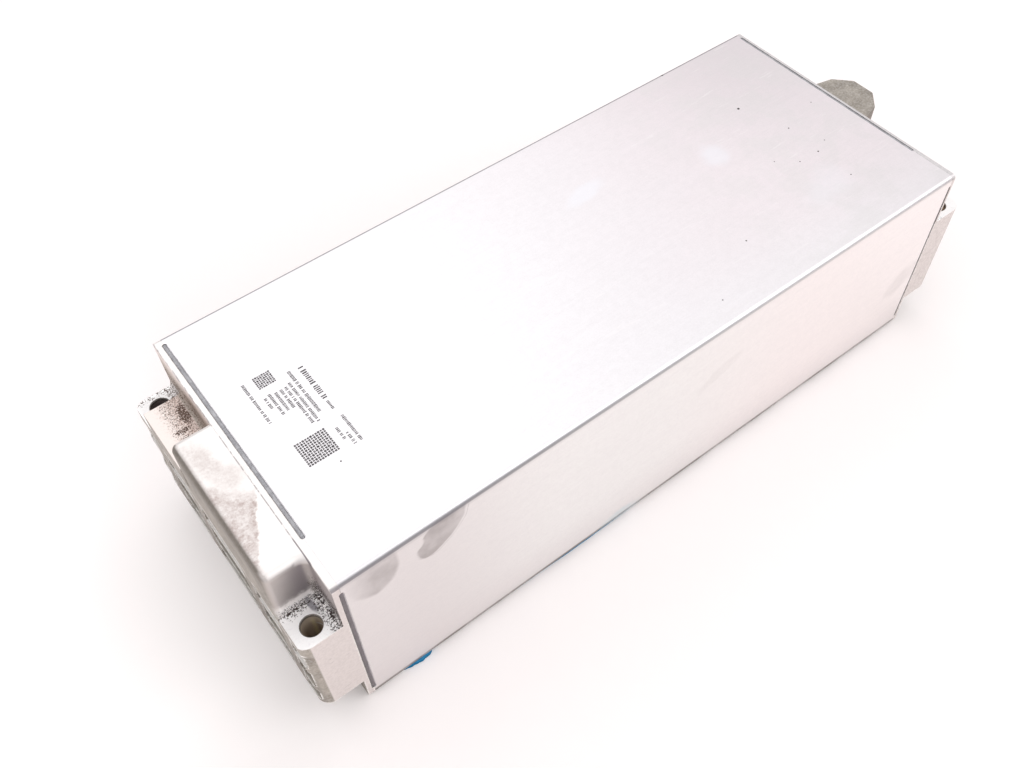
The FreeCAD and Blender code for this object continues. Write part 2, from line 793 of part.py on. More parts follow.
def inset_range(side, half, inset_low, inset_high):
    """Two places along an axis, measured in from one side or from the middle."""
    if side == 0:
        return inset_low, inset_high
    return sorted((side * (half - inset_low), side * (half - inset_high)))


def underside_paste():
    """Smears of old heat-transfer paste that stay on the underside."""
    patches = []
    for end, x_low, x_high, side, y_low, y_high in paste_patches:
        x0, x1 = inset_range(end, x_end, x_low, x_high)
        y0, y1 = inset_range(side, half_width, y_low, y_high)
        outline = [(x0, y0), (x1, y0), (x1, y1), (x0, y1)]
        patches.append(plan_prism(outline, paste_corners, 0.0, floor, True))
    return Part.makeCompound(patches)


save("housing_tube", housing_tube())
save("end_plate_near", end_plate_near())
save("end_plate_far", end_plate_far())
save("weld_beads_near", weld_beads(-x_joint_near, seam_width_near))
save("weld_beads_far", weld_beads(x_joint_far, seam_width_far))
for number in range(cell_count):
    save("cell_%02d" % (number + 1), pouch_cell(number))
for number in range(group_count - 1):
    save("foam_pad_%d" % (number + 1), foam_pad(number))
save("side_pad_left", side_pad(1))
save("side_pad_right", side_pad(-1))
save("heat_bed", heat_bed())
save("top_film", top_film())
save("busbar_frame_near", mirror_x(busbar_frame([])))
save("busbar_frame_far", busbar_frame([]))
save("end_cover_near", mirror_x(end_cover([])))
terminal_openings = [terminal_window(side, bushing_clearance) for side in (-1, 1)]
save("end_cover_far", end_cover(terminal_openings + [socket_window(socket_rear_clearance)]))
link_number = 0
for end in (-1, 1):
    for first, last in link_groups(end):
        link_number += 1
        link = busbar_plate(first, last)
        save("busbar_link_%d" % link_number, mirror_x(link) if end < 0 else link)
save("busbar_positive", terminal_busbar(1))
save("busbar_negative", terminal_busbar(-1))
save("terminal_nuts", terminal_nuts())
save("terminal_block_positive", terminal_block(1))
save("terminal_block_negative", terminal_block(-1))
save("signal_socket", signal_socket())
save("socket_gasket", socket_gasket())
save("socket_pins", Part.makeCompound(pin_solids()))
save("sensing_flex", sensing_flex())
save("temperature_sensors", Part.makeCompound(temperature_sensors()))
save("underside_paste", underside_paste())
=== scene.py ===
import math
import bpy
import numpy as np
from mathutils import Matrix, Vector


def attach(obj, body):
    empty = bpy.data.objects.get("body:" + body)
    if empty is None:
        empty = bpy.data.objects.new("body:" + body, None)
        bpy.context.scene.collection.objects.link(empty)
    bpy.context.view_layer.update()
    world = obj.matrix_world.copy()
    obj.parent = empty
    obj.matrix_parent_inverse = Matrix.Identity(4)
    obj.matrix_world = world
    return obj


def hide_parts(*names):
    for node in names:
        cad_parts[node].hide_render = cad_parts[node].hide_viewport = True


# Dressed battery module: sheet aluminium tube, ribbed castings, weld seams, old paste and print.
# The frame, camera, lights and floor are in metres. Shapes, places, dots and blots are in millimetres.
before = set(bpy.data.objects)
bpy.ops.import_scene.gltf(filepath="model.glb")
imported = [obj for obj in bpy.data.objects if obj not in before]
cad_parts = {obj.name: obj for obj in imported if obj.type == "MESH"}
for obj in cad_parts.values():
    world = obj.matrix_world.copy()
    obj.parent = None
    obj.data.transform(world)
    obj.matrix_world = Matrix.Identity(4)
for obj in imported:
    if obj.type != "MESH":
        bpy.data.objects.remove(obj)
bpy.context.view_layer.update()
mm = 0.001
print("frame loaded with", len(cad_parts), "nodes")


# shared tools
class Finish:
    # One material and the wires in it. A number goes on a socket, anything else is wired to it.
    def __init__(self, name, places=None):
        self.places = places
        self.material = bpy.data.materials.new(name)
        self.material.use_nodes = True
        self.tree = self.material.node_tree
        self.tree.nodes.clear()
        self.shader = self.node("BsdfPrincipled")
        self.node("OutputMaterial", Surface=self.shader.outputs[0])
        self.coordinates = self.node("TexCoord").outputs
        self.splits = {}

    def node(self, kind, **values):
        # a new node, with values on its inputs of those names
        made = self.tree.nodes.new("ShaderNode" + kind)
        for key, value in values.items():
            self.feed(made.inputs[key], value)
        return made

    def feed(self, socket, value):
        if isinstance(value, bpy.types.NodeSocket):
            self.tree.links.new(value, socket)
        elif isinstance(value, (tuple, list)) and len(value) == 3 and len(socket.default_value) == 4:
            socket.default_value = (*value, 1.0)
        else:
            socket.default_value = value

    def split(self, output):
        # X, Y and Z of the object's place or of its normal
        if output not in self.splits:
            self.splits[output] = self.node("SeparateXYZ", Vector=self.coordinates[output]).outputs
        return self.splits[output]

    def place(self, axis):
        return self.split("Object")[axis]

    def facing(self, axis):
        return self.split("Normal")[axis]

    def sum(self, operation, first, second=0.0, third=None):
        node = self.node("Math")
        node.operation = operation
        self.feed(node.inputs[0], first)
        self.feed(node.inputs[1], second)
        if third is not None:
            self.feed(node.inputs[2], third)
        return node.outputs[0]

    def nudge(self, value, share, base):
        return self.sum("MULTIPLY_ADD", value, share, base)

    def both(self, *masks):
        value = masks[0]
        for mask in masks[1:]:
            value = self.sum("MULTIPLY", value, mask)
        return value

    def either(self, *masks):
        value = masks[0]
        for mask in masks[1:]:
            value = self.sum("MAXIMUM", value, mask)
        return value

    def opposite(self, mask):
        return self.sum("SUBTRACT", 1.0, mask)

    def step(self, value, low, high, outLow=0.0, outHigh=1.0):
        # smooth change from outLow at low to outHigh at high
        node = self.node("MapRange", **{"Value": value, "From Min": low, "From Max": high, "To Min": outLow,
                                        "To Max": outHigh})
        node.interpolation_type = "SMOOTHSTEP"
        return node.outputs[0]

    def between(self, value, low, high, soft):
        rising = self.step(value, low - soft, low + soft)
        falling = self.step(value, high + soft, high - soft)
        return self.both(rising, falling)

    def ramp(self, value, key, outLow=0.0, outHigh=1.0):
        # step between the two places that the finish's table has under key
        low, high = self.places[key]
        return self.step(value, low * mm, high * mm, outLow, outHigh)

    def band(self, value, key, soft):
        low, high = self.places[key]
        return self.between(value, low * mm, high * mm, soft * mm)

    def noise(self, scale, detail, roughness, stretch=(1, 1, 1), turn=(0, 0, 0), shift=(0, 0, 0)):
        point = self.node("Mapping", Vector=self.coordinates["Object"], Scale=stretch, Rotation=turn,
                          Location=shift).outputs[0]
        node = self.node("TexNoise", Vector=point, Scale=scale, Detail=detail, Roughness=roughness)
        return node.outputs["Fac"]

    def vectors(self, operation, first, second=None):
        node = self.node("VectorMath")
        node.operation = operation
        self.feed(node.inputs[0], first)
        if second is not None:
            self.feed(node.inputs[1], second)
        return node.outputs["Value"]

    def reach(self, centre, size, turn, wobble, grain, seed):
        # distance from centre in units of size, made ragged by noise
        node = self.node("Mapping", Vector=self.coordinates["Object"], Location=[v * mm for v in centre],
                         Rotation=[math.radians(v) for v in turn], Scale=[v * mm for v in size])
        node.vector_type = "TEXTURE"
        length = self.vectors("LENGTH", node.outputs[0])
        ragged = self.noise(grain, 4, 0.6, shift=(seed, seed * 0.7, seed * 1.3))
        return self.nudge(self.sum("SUBTRACT", ragged, 0.5), 2.0 * wobble, length)

    def blot(self, centre, size, turn, wobble, grain, inner, outer, seed):
        return self.step(self.reach(centre, size, turn, wobble, grain, seed), outer, inner)

    def spots(self, rows):
        # the strongest of several blots, each times its share, which is the last value of its row
        return self.either(*[self.both(self.blot(*row[:-1]), row[-1]) for row in rows])

    def side(self, point, outward, soft, ragged):
        # 1 behind a line through point in plan, 0 beyond it, with an edge made ragged by noise
        away = self.both(self.sum("SUBTRACT", self.place(0), point[0] * mm), outward[0])
        across = self.both(self.sum("SUBTRACT", self.place(1), point[1] * mm), outward[1])
        swing = self.sum("SUBTRACT", self.noise(300, 4, 0.6), 0.5)
        edge = self.nudge(swing, 2.0 * ragged * mm, self.sum("ADD", away, across))
        return self.step(edge, soft * mm, -soft * mm)

    def dot(self, centre, radius):
        away = self.vectors("DISTANCE", self.coordinates["Object"], [v * mm for v in centre])
        return self.step(away, radius * 1.2 * mm, radius * 0.7 * mm)

    def mix(self, share, first, second):
        node = self.node("Mix", Factor=share)
        node.data_type = "RGBA"
        self.feed(node.inputs[6], first)
        self.feed(node.inputs[7], second)
        return node.outputs[2]

    def paint(self, share, tone):
        # tone over the colour so far
        self.colour = self.mix(share, self.colour, tone)

    def rounded(self, radius):
        node = self.node("Bevel", Radius=radius * mm)
        node.samples = 6
        return node.outputs[0]

    def edges(self, radius, low=0.985, high=0.8):
        # near a sharp edge the rounded normal leaves the flat one
        flat = self.node("NewGeometry").outputs["Normal"]
        return self.step(self.vectors("DOT_PRODUCT", self.rounded(radius), flat), low, high)

    def bump(self, height, strength, depth, normal=None):
        node = self.node("Bump", Strength=strength, Distance=depth * mm, Height=height)
        if normal is not None:
            self.feed(node.inputs["Normal"], normal)
        return node.outputs[0]

    def set(self, **values):
        # the colour so far and the values go on the shader
        names = {"rough": "Roughness", "metal": "Metallic", "normal": "Normal",
                 "specular": "Specular IOR Level", "glow": "Emission Strength"}
        self.feed(self.shader.inputs["Base Color"], self.colour)
        for key, value in values.items():
            self.feed(self.shader.inputs[names[key]], value)
        return self.material


def meshObject(name, points, faces, material, smooth=True):
    # one finished piece at the origin, riding with the module
    mesh = bpy.data.meshes.new(name)
    if not isinstance(faces, list):
        faces = faces.tolist()
    mesh.from_pydata(points.reshape(-1, 3).tolist(), [], faces)
    mesh.update()
    if smooth:
        mesh.shade_smooth()
    mesh.materials.append(material)
    piece = bpy.data.objects.new(name, mesh)
    bpy.context.scene.collection.objects.link(piece)
    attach(piece, "root")
    return piece


def smoothCopy(node, name, slot, material):
    # merged copy of a CAD node: equal corners become one vertex, edges under 32 degrees turn smooth, and
    # flat faces stay flat
    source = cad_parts[node].data
    points = np.empty(len(source.vertices) * 3)
    source.vertices.foreach_get("co", points)
    corners = np.empty(len(source.loops), dtype=np.int64)
    source.loops.foreach_get("vertex_index", corners)
    keys = np.round(points.reshape(-1, 3), 7)
    merged, index = np.unique(keys, axis=0, return_inverse=True)
    triangles = index.reshape(-1)[corners].reshape(-1, 3)
    whole = (triangles[:, 0] != triangles[:, 1]) & (triangles[:, 1] != triangles[:, 2])
    whole &= triangles[:, 0] != triangles[:, 2]
    piece = meshObject(name, merged, triangles[whole], material)
    piece.data.set_sharp_from_angle(angle=math.radians(32.0))
    keep = piece.modifiers.new("flatFacesStayFlat", "WEIGHTED_NORMAL")
    keep.mode = "FACE_AREA"
    keep.weight = 50
    keep.keep_sharp = True
    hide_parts(node)


def skin(rings, first=None, last=None, wrap=False):
    # quads between rings of points (rings, around, 3), closed round, with a fan to a pole at either end
    # or, with wrap, with the last ring joined to the first
    count, around = rings.shape[:2]
    at = np.arange(count * around).reshape(count, around)
    step = np.roll(at, -1, axis=1)
    quads = np.stack([at, step, np.roll(step, -1, axis=0), np.roll(at, -1, axis=0)], axis=-1)
    quads = quads[:count if wrap else count - 1].reshape(-1, 4).tolist()
    points = rings.reshape(-1, 3)
    for pole, row, turn in ((first, 0, 1), (last, count - 1, -1)):
        if pole is not None:
            tip = len(points)
            points = np.vstack([points, np.asarray(pole)[None, :]])
            fan = np.stack([np.full(at.shape[1], tip), at[row] if turn < 0 else step[row],
                            step[row] if turn < 0 else at[row]], axis=-1)
            quads += fan.tolist()
    return points, quads


def joined(parts):
    # several point and face sets as one
    points = []
    faces = []
    base = 0
    for somePoints, someFaces in parts:
        points.append(somePoints)
        faces += [[v + base for v in face] for face in someFaces]
        base += len(somePoints)
    return np.vstack(points), faces


# camera, floor and light
cameraView = dict(
    lens=35.989,
    sensor=36.0,
    clipStart=0.01,
    place=(-0.21915, -0.24833, 0.45705),
    forward=(0.3488, 0.4816, -0.804),
    down=(-0.498, -0.6315, -0.5943),
)

lens = bpy.data.cameras.new("photoCamera")
lens.lens = cameraView["lens"]
lens.sensor_width = cameraView["sensor"]
lens.clip_start = cameraView["clipStart"]
cameraObject = bpy.data.objects.new("photoCamera", lens)
bpy.context.scene.collection.objects.link(cameraObject)
back = -Vector(cameraView["forward"]).normalized()
right = Vector(cameraView["down"]).cross(back).normalized() * -1.0
up = back.cross(right)
turn = Matrix((right, up, back)).transposed().to_4x4()
cameraObject.matrix_world = Matrix.Translation(cameraView["place"]) @ turn
bpy.context.scene.camera = cameraObject

light = dict(
    sky=0.98,
    horizon=0.3,
    riseFrom=0.02,
    riseTo=0.42,
    skyTint=(1.0, 0.985, 0.99),
    # place, target, size and power
    keyLamp=((1.0, -1.1, 1.5), (0.0, 0.0, 0.05), 1.5, 9.0),
    topLamp=((0.1, 0.95, 1.5), (-0.05, 0.0, 0.1), 1.2, 1.6),
    floorColour=(0.935, 0.89, 0.88),
    floorPale=(0.95, 0.91, 0.905),
    floorReach=4,
    floorGlow=0.07,
    nearGlow=0.13,
    nearGlowX=(-0.14, -0.24),
    nearGlowY=(-0.085, -0.025),
)


def lamp(name, place, target, size, power):
    data = bpy.data.lights.new(name, "AREA")
    data.shape = "DISK"
    data.size = size
    data.energy = power
    item = bpy.data.objects.new(name, data)
    item.location = place
    item.rotation_euler = (Vector(target) - Vector(place)).to_track_quat("-Z", "Y").to_euler()
    bpy.context.scene.collection.objects.link(item)


lamp("softKey", *light["keyLamp"])
lamp("softTop", *light["topLamp"])

world = bpy.data.worlds.new("studio")
world.use_nodes = True
worldTree = world.node_tree
sky = worldTree.nodes["Background"]
sky.inputs[0].default_value = (*light["skyTint"], 1.0)
aim = worldTree.nodes.new("ShaderNodeTexCoord")
aimParts = worldTree.nodes.new("ShaderNodeSeparateXYZ")
rise = worldTree.nodes.new("ShaderNodeMapRange")
rise.interpolation_type = "SMOOTHSTEP"
riseRange = {"From Min": light["riseFrom"], "From Max": light["riseTo"], "To Min": light["horizon"],
             "To Max": light["sky"]}
for socket, number in riseRange.items():
    rise.inputs[socket].default_value = number
worldTree.links.new(aim.outputs["Generated"], aimParts.inputs[0])
worldTree.links.new(aimParts.outputs[2], rise.inputs["Value"])
worldTree.links.new(rise.outputs[0], sky.inputs[1])
bpy.context.scene.world = world


def floorFinish():
    f = Finish("paleFloor")
    rays = f.node("LightPath").outputs
    toCamera = rays["Is Camera Ray"]
    f.feed(f.shader.inputs["Emission Color"], (1.0, 1.0, 1.0))
    # a faint glow, stronger beyond the near end, where the photo's shadow is lighter than the lamps give
    glow = f.both(f.either(toCamera, rays["Is Glossy Ray"]), light["floorGlow"])
    nearEnd = f.both(f.step(f.place(0), *light["nearGlowX"]), f.step(f.place(1), *light["nearGlowY"]))
    nearEnd = f.both(nearEnd, toCamera)
    glow = f.nudge(nearEnd, light["nearGlow"], glow)
    f.colour = f.mix(f.noise(3, 3, 0.5), light["floorColour"], light["floorPale"])
    return f.set(rough=0.8, specular=0.2, glow=glow)


reach = light["floorReach"]
corners = [(-reach, -reach, 0), (reach, -reach, 0), (reach, reach, 0), (-reach, reach, 0)]
floorMesh = bpy.data.meshes.new("floor")
floorMesh.from_pydata(corners, [], [(0, 1, 2, 3)])
floorMesh.materials.append(floorFinish())
floor = bpy.data.objects.new("floor", floorMesh)
bpy.context.scene.collection.objects.link(floor)
print("camera, floor and light are set")


# housing tube: satin sheet aluminium with grain, smears and smudges
tubeLook = dict(
    near=(0.935, 0.92, 0.94),
    far=(0.94, 0.87, 0.895),
    farCornerShade=(0.74, 0.69, 0.71),
    patch=(0.8, 0.8, 0.785),
    grain=(0.66, 0.635, 0.645),
    scuff=(1.0, 0.97, 0.975),
    side=(0.8, 0.765, 0.76),
    sideMiddle=(0.9, 0.89, 0.88),
    sideFar=(0.94, 0.885, 0.875),
    sideLowShade=(0.8, 0.755, 0.755),
    smudge=(0.5, 0.465, 0.46),
    smear=(0.94, 0.95, 1.0),
    dot=(0.06, 0.05, 0.05),
    edge=(0.28, 0.27, 0.29),
    bottomShade=(0.17, 0.145, 0.125),
    paste=(0.0, 0.2, 0.42),
    trace=(0.45, 0.66, 0.74),
    rough=0.42,
    top=110.8,
    dots=[(120.4, 73.5, 0.8), (132.3, 27.7, 0.7), (-146, -29, 0.4), (141.3, 0.7, 0.4),
          (139.8, -20.8, 0.45), (148.6, -16.9, 0.3), (127.1, -20.4, 0.35), (117.2, -12.5, 0.3),
          (139.6, -42.4, 0.35), (67.4, -42.6, 0.4), (33.1, -62.1, 0.35), (165.5, 7.8, 0.3)],
)

# blots as Finish.blot takes them, those in lists with the share of each last; thumb is for Finish.reach
tubeBlots = dict(
    smears=[((29, 29, 110), (15, 6, 8), (0, 0, 12), 0.35, 90, 0.4, 1.1, 1, 1),
            ((98, 10, 110), (9, 9, 8), (0, 0, -40), 0.5, 90, 0.3, 1.2, 2, 1),
            ((125, -40, 110), (18, 12, 8), (0, 0, 30), 0.6, 70, 0.2, 1.2, 2.5, 0.5)],
    faint=[((25, -75, 77), (15, 6, 5), (0, -25, 0), 0.5, 80, 0.55, 1.15, 5, 0.12),
           ((166, -75, 45), (14, 6, 9), (0, -45, 0), 0.5, 80, 0.55, 1.15, 6.5, 0.22)],
    first=((-162, -75, 103), (12.8, 6, 17), (0, 0, 0), 0.09, 150, 0.84, 1.02, 3),
    thumb=((-130, -75, 101.5), (15.5, 6, 8.8), (0, -46, 0), 0.08, 150, 4),
    heel=((-136, -75, 94), (6, 6, 6), (0, 0, 0), 0.1, 150, 0.85, 1.03, 4.5),
    notch=((-143, -75, 103), (5, 6, 5), (0, 0, 0), 0.1, 150, 0.8, 1.1, 4.7),
    trace=((-29, -75, 3), (16, 6, 7), (0, 0, 0), 0.5, 120, 0.55, 1.15, 10),
    crept=((-150.5, -76, 0.6), (10.5, 6, 2.6), (0, -3, 0), 0.35, 260, 0.75, 1, 10.5),
)

# where each mask starts and where it is full
tubePlaces = dict(
    far=(-20, 170), farAcross=(-78, -30), corner=(40, 170), cornerAcross=(-30, 75), patches=(30, 140),
    farEnd=(90, 180), low=(50, 5), sideMiddle=(-150, -60), sideFar=(-20, 100), firstBack=(-175, -160),
    firstUp=(113, 98), secondFront=(-112, -128), thumbRim=(225.5, 223.5), topEdge=(100, 105),
    underEdge=(106.2, 109), edgeAlong=(120, -160), bottomShade=(5.6, 3.8)
)


def tubeFinish():
    f = Finish("tubeAluminium", tubePlaces)
    look, blots = tubeLook, tubeBlots
    x, y, z = f.place(0), f.place(1), f.place(2)
    sidewise = f.sum("ABSOLUTE", f.facing(1))
    sideways = f.step(sidewise, 0.75, 0.95)
    cloud = f.noise(14, 3, 0.55, stretch=(0.5, 1, 1))
    # the top is pinker towards its far end, a tint, and greyer there and at its far corner, a painted shade
    fade = f.both(f.ramp(f.nudge(cloud, 0.08, x), "far"), f.ramp(y, "farAcross", 0.25))
    f.colour = f.mix(fade, look["near"], look["far"])
    corner = f.both(f.ramp(x, "corner"), f.ramp(y, "cornerAcross"), 0.55)
    f.paint(corner, look["farCornerShade"])
    patches = f.step(f.noise(46, 5, 0.68, shift=(2, 5, 1)), 0.42, 0.6)
    f.paint(f.both(patches, f.ramp(x, "patches"), 0.3), look["patch"])
    # painted shade over the far end
    f.paint(f.ramp(x, "farEnd", 0.0, 0.28), look["farCornerShade"])
    # the long sides are greyer near the blank end and towards the floor, a painted shade
    low = f.ramp(f.nudge(cloud, 0.02, z), "low", 0.0, 0.6)
    sideTone = f.mix(f.ramp(x, "sideMiddle"), look["side"], look["sideMiddle"])
    sideTone = f.mix(f.ramp(x, "sideFar"), sideTone, look["sideFar"])
    f.paint(sideways, f.mix(low, sideTone, look["sideLowShade"]))
    # faint drawing lines along the tube, a mottle of a few millimetres and a fine speckle
    lines = f.noise(1, 4, 0.65, stretch=(14, 900, 900))
    mottle = f.noise(330, 3, 0.6)
    fine = f.noise(1500, 3, 0.7)
    tone = f.sum("ADD", f.step(lines, 0.25, 0.75, -0.2, 0.2), f.step(fine, 0.3, 0.7, -0.5, 0.5))
    tone = f.sum("ADD", tone, f.step(mottle, 0.3, 0.7, -0.25, 0.25))
    f.paint(f.nudge(tone, 0.16, 0.1), look["grain"])
    # pale smears and thin scuffs on the top
    f.paint(f.both(f.spots(blots["smears"]), 0.5), look["smear"])
    scuffs = f.noise(1, 3, 0.65, stretch=(45, 420, 420), shift=(3, 1, 0))
    scuffs = f.step(scuffs, 0.63, 0.73, 0.0, 0.32)
    f.paint(f.both(scuffs, f.opposite(sideways)), look["scuff"])
    # smudges on the long side: crisp below and to the right, fading up and back
    haze = f.step(f.noise(95, 3, 0.6, shift=(1, 4, 2)), 0.3, 0.7, 0.62, 1)
    first = f.both(f.blot(*blots["first"]), f.ramp(x, "firstBack", 0.12, 0.93),
                   f.ramp(z, "firstUp", 0.4, 0.92))
    thumb = f.reach(*blots["thumb"])
    second = f.both(f.either(f.step(thumb, 1.03, 0.88), f.blot(*blots["heel"])),
                    f.opposite(f.blot(*blots["notch"])), f.ramp(x, "secondFront", 0.6))
    rim = f.both(f.between(thumb, 1.06, 1.1, 0.02), f.ramp(f.sum("SUBTRACT", z, x), "thumbRim"), 0.6)
    smudges = f.both(f.either(first, second, f.spots(blots["faint"]), rim), haze, sideways)
    f.paint(smudges, look["smudge"])
    # painted shade: a grey line where the long edges turn, strongest near the blank end
    topEdge = f.ramp(z, "topEdge")
    turning = f.both(f.step(sidewise, 0.35, 0.8), f.step(sidewise, 1.0, 0.97))
    below = f.both(sideways, f.ramp(z, "underEdge"), 0.3)
    upper = f.both(f.either(turning, below), topEdge, f.ramp(x, "edgeAlong", 0.34, 0.86))
    beyond = f.both(f.step(f.facing(1), 0.1, 0.3), topEdge, 0.7)
    f.paint(f.either(upper, beyond), look["edge"])
    # painted shade: a dark band along the bottom edge, where the tube stands over the floor
    gaps = f.step(f.noise(60, 4, 0.7, shift=(2, 0, 0)), 0.3, 0.6, 0.6, 1)
    lower = f.both(f.ramp(z, "bottomShade"), gaps)
    f.paint(lower, look["bottomShade"])
    # dark dots
    dots = f.either(*[f.dot((px, py, look["top"]), size) for px, py, size in look["dots"]])
    f.paint(dots, look["dot"])
    # blue where paste crept up the bottom edge, and a trace where it was wiped off
    f.paint(f.both(f.blot(*blots["trace"]), sideways, 0.25), look["trace"])
    crept = f.blot(*blots["crept"])
    f.paint(crept, look["paste"])
    rough = f.nudge(smudges, 0.15, f.nudge(lines, 0.08, look["rough"] - 0.04))
    metal = f.opposite(f.either(crept, lower))
    height = f.nudge(fine, 0.8, lines)
    return f.set(rough=rough, metal=metal, normal=f.bump(height, 0.22, 0.02, f.rounded(0.12)))


smoothCopy("housing_tube", "tubeSkin", "tube_aluminium", tubeFinish())
print("housing tube dressed")


# castings: as-cast walls, machined pads, stains and black specks
castLook = dict(
    raw=(0.445, 0.405, 0.355),
    rawDark=(0.285, 0.256, 0.222),
    rawShade=(0.25, 0.225, 0.202),
    top=(0.95, 0.92, 0.9),
    rimTop=(0.66, 0.64, 0.65),
    stain=(0.52, 0.435, 0.41),
    shelf=(0.61, 0.49, 0.44),
    shelfLight=(0.92, 0.84, 0.8),
    milled=(1.0, 0.99, 0.985),
    milledDark=(0.85, 0.82, 0.84),
    wall=(0.33, 0.3, 0.315),
    wallSheenTone=(0.66, 0.62, 0.6),
    wallLight=(1.0, 0.965, 0.955),
    earSide=(0.8, 0.745, 0.725),
    earScratch=(0.45, 0.41, 0.39),
    earGrain=(0.55, 0.5, 0.48),
    rim=(0.5, 0.455, 0.45),
    rimBrown=(0.52, 0.45, 0.4),
    speck=(0.05, 0.036, 0.034),
    speckBrown=(0.125, 0.075, 0.055),
    bore=(0.64, 0.55, 0.45),
    boreLight=(0.95, 0.86, 0.6),
    boreFarShade=(0.26, 0.205, 0.2),
    boreMouthShade=(0.1, 0.085, 0.075),
    rimEdgeShade=(0.34, 0.32, 0.34),
    worn=(0.86, 0.83, 0.8),
    wearAndHighlight=(1.0, 0.985, 0.96),
    corner=(0.6, 0.555, 0.525),
    padShade=(0.3, 0.29, 0.32),
    boltX=188.8,
    boltY=67.0,
)

# the stain wedge's two edges as Finish.side takes them, and blots as above
castBlots = dict(
    wedge=[((-180, -21), (0.89, -0.46), 0.7, 2.6), ((-180, -20), (0.625, 0.78), 3.5, 3)],
    stains=[((-190, 4, 110), (7, 16, 8), (0, 0, 12), 0.6, 120, 0.3, 1.15, 13, 0.5),
            ((-186, -8, 110), (9, 9, 8), (0, 0, 15), 0.6, 120, 0.3, 1.15, 13.5, 0.45)],
    padShade=((-184.2, -59.6, 80), (1.7, 4.4, 4), (0, 0, 6), 0.35, 350, 0.5, 1.1, 14),
    rimSpecks=[((-179.6, -68.5, 81), (2, 3.4, 3), (0, 0, 0), 0.5, 300, 0.55, 1.15, 15, 1.25)],
    shelfSpecks=[((-183, 45.5, 92.8), (3.4, 8, 4), (0, 0, 0), 0.5, 200, 0.55, 1.15, 16, 1.12),
                 ((-188, 38, 92.8), (6, 2, 4), (0, 0, 0), 0.5, 200, 0.55, 1.15, 17, 1.05)],
)

# where each mask starts and where it is full: heights, or places out from the module's middle, or across it
castPlaces = dict(
    padsUp=(78, 80), specksUp=(78, 79), joint=(178.6, 179.2), highUp=(96, 112), outer=(73.5, 74.5),
    wallOut=(59, 56), wallIn=(50, 53), wallFront=(185, 184), cutterUp=(88, 92.5), pale=(186, 204),
    paleUp=(86, 92.5), rimFace=(183.6, 179.6), rimFaceUp=(110.4, 109.5), rimBrownUp=(94, 110),
    footUp=(90.5, 85), footIn=(52.5, 53.5), footOut=(74.2, 73.5), footFront=(198.5, 196.5),
    strip=(180.2, 181.7), stripOut=(59, 57), stripUp=(108, 92), byRim=(185, 183), byRimUp=(250, 252),
    cornerDrop=(184.3, 186.8), topUp=(100, 104), blockUp=(79, 81), frontStain=(193, 196.5),
    farRimTop=(179.4, 178.9), crack=(178.7, 179.2), crackUp=(107, 108.5), crackWhole=(-45.5, -48.5),
    crackEnd=(-62.5, -60), rimTurnUp=(102, 105), rimTurn=(-70.5, -72.5), shelfUp=(90.5, 94.5),
    shelfSide=(20.5, 21.5), shelfFront=(186, 197), padUp=(78.5, 80), padSide=(56.8, 57.3), padShadeUp=(86, 83),
    bore=(5, 4.7), streakUp=(77.5, 73.5), mouth=(4.6, 5.1), mouthUp=(77, 78.5), wornUp=(80, 78.5),
    highlightLineUp=(71.5, 72.8), lowUp=(55.5, 40), ledgeUp=(56, 59.5), ledgeFront=(193.5, 195.5),
    speckRim=(185.3, 182.8), speckRimOut=(56.5, 57.5), speckRimUp=(94.5, 80), speckLine=(56.7, 58),
    speckLineUp=(82, 80), speckIn=(52, 53.5), speckOut=(62.5, 58), speckRootUp=(85, 81.5),
    speckFront=(198.5, 194.5), speckPad=(70, 74), speckFace=(-52, -58), speckFaceUp=(102, 88),
    shelfRim=(20, 24), shelfRimUp=(102, 92), speckShelf=(195, 189)
)


def ringAround(f, look, side):
    # distance and angle from the axis of the two bolt holes of one casting
    x = f.sum("SUBTRACT", f.both(f.place(0), side), look["boltX"] * mm)
    y = f.sum("SUBTRACT", f.sum("ABSOLUTE", f.place(1)), look["boltY"] * mm)
    away = f.sum("SQRT", f.sum("ADD", f.both(x, x), f.both(y, y)))
    return away, f.sum("ARCTAN2", y, x)


def streaks(f, away, angle, around, along):
    # noise read by angle and distance: marks that run out from the hole
    point = f.node("CombineXYZ", **{"X": f.both(angle, around), "Y": f.both(away, along)}).outputs[0]
    return f.node("TexNoise", Vector=point, Scale=1.0, Detail=3.0).outputs["Fac"]


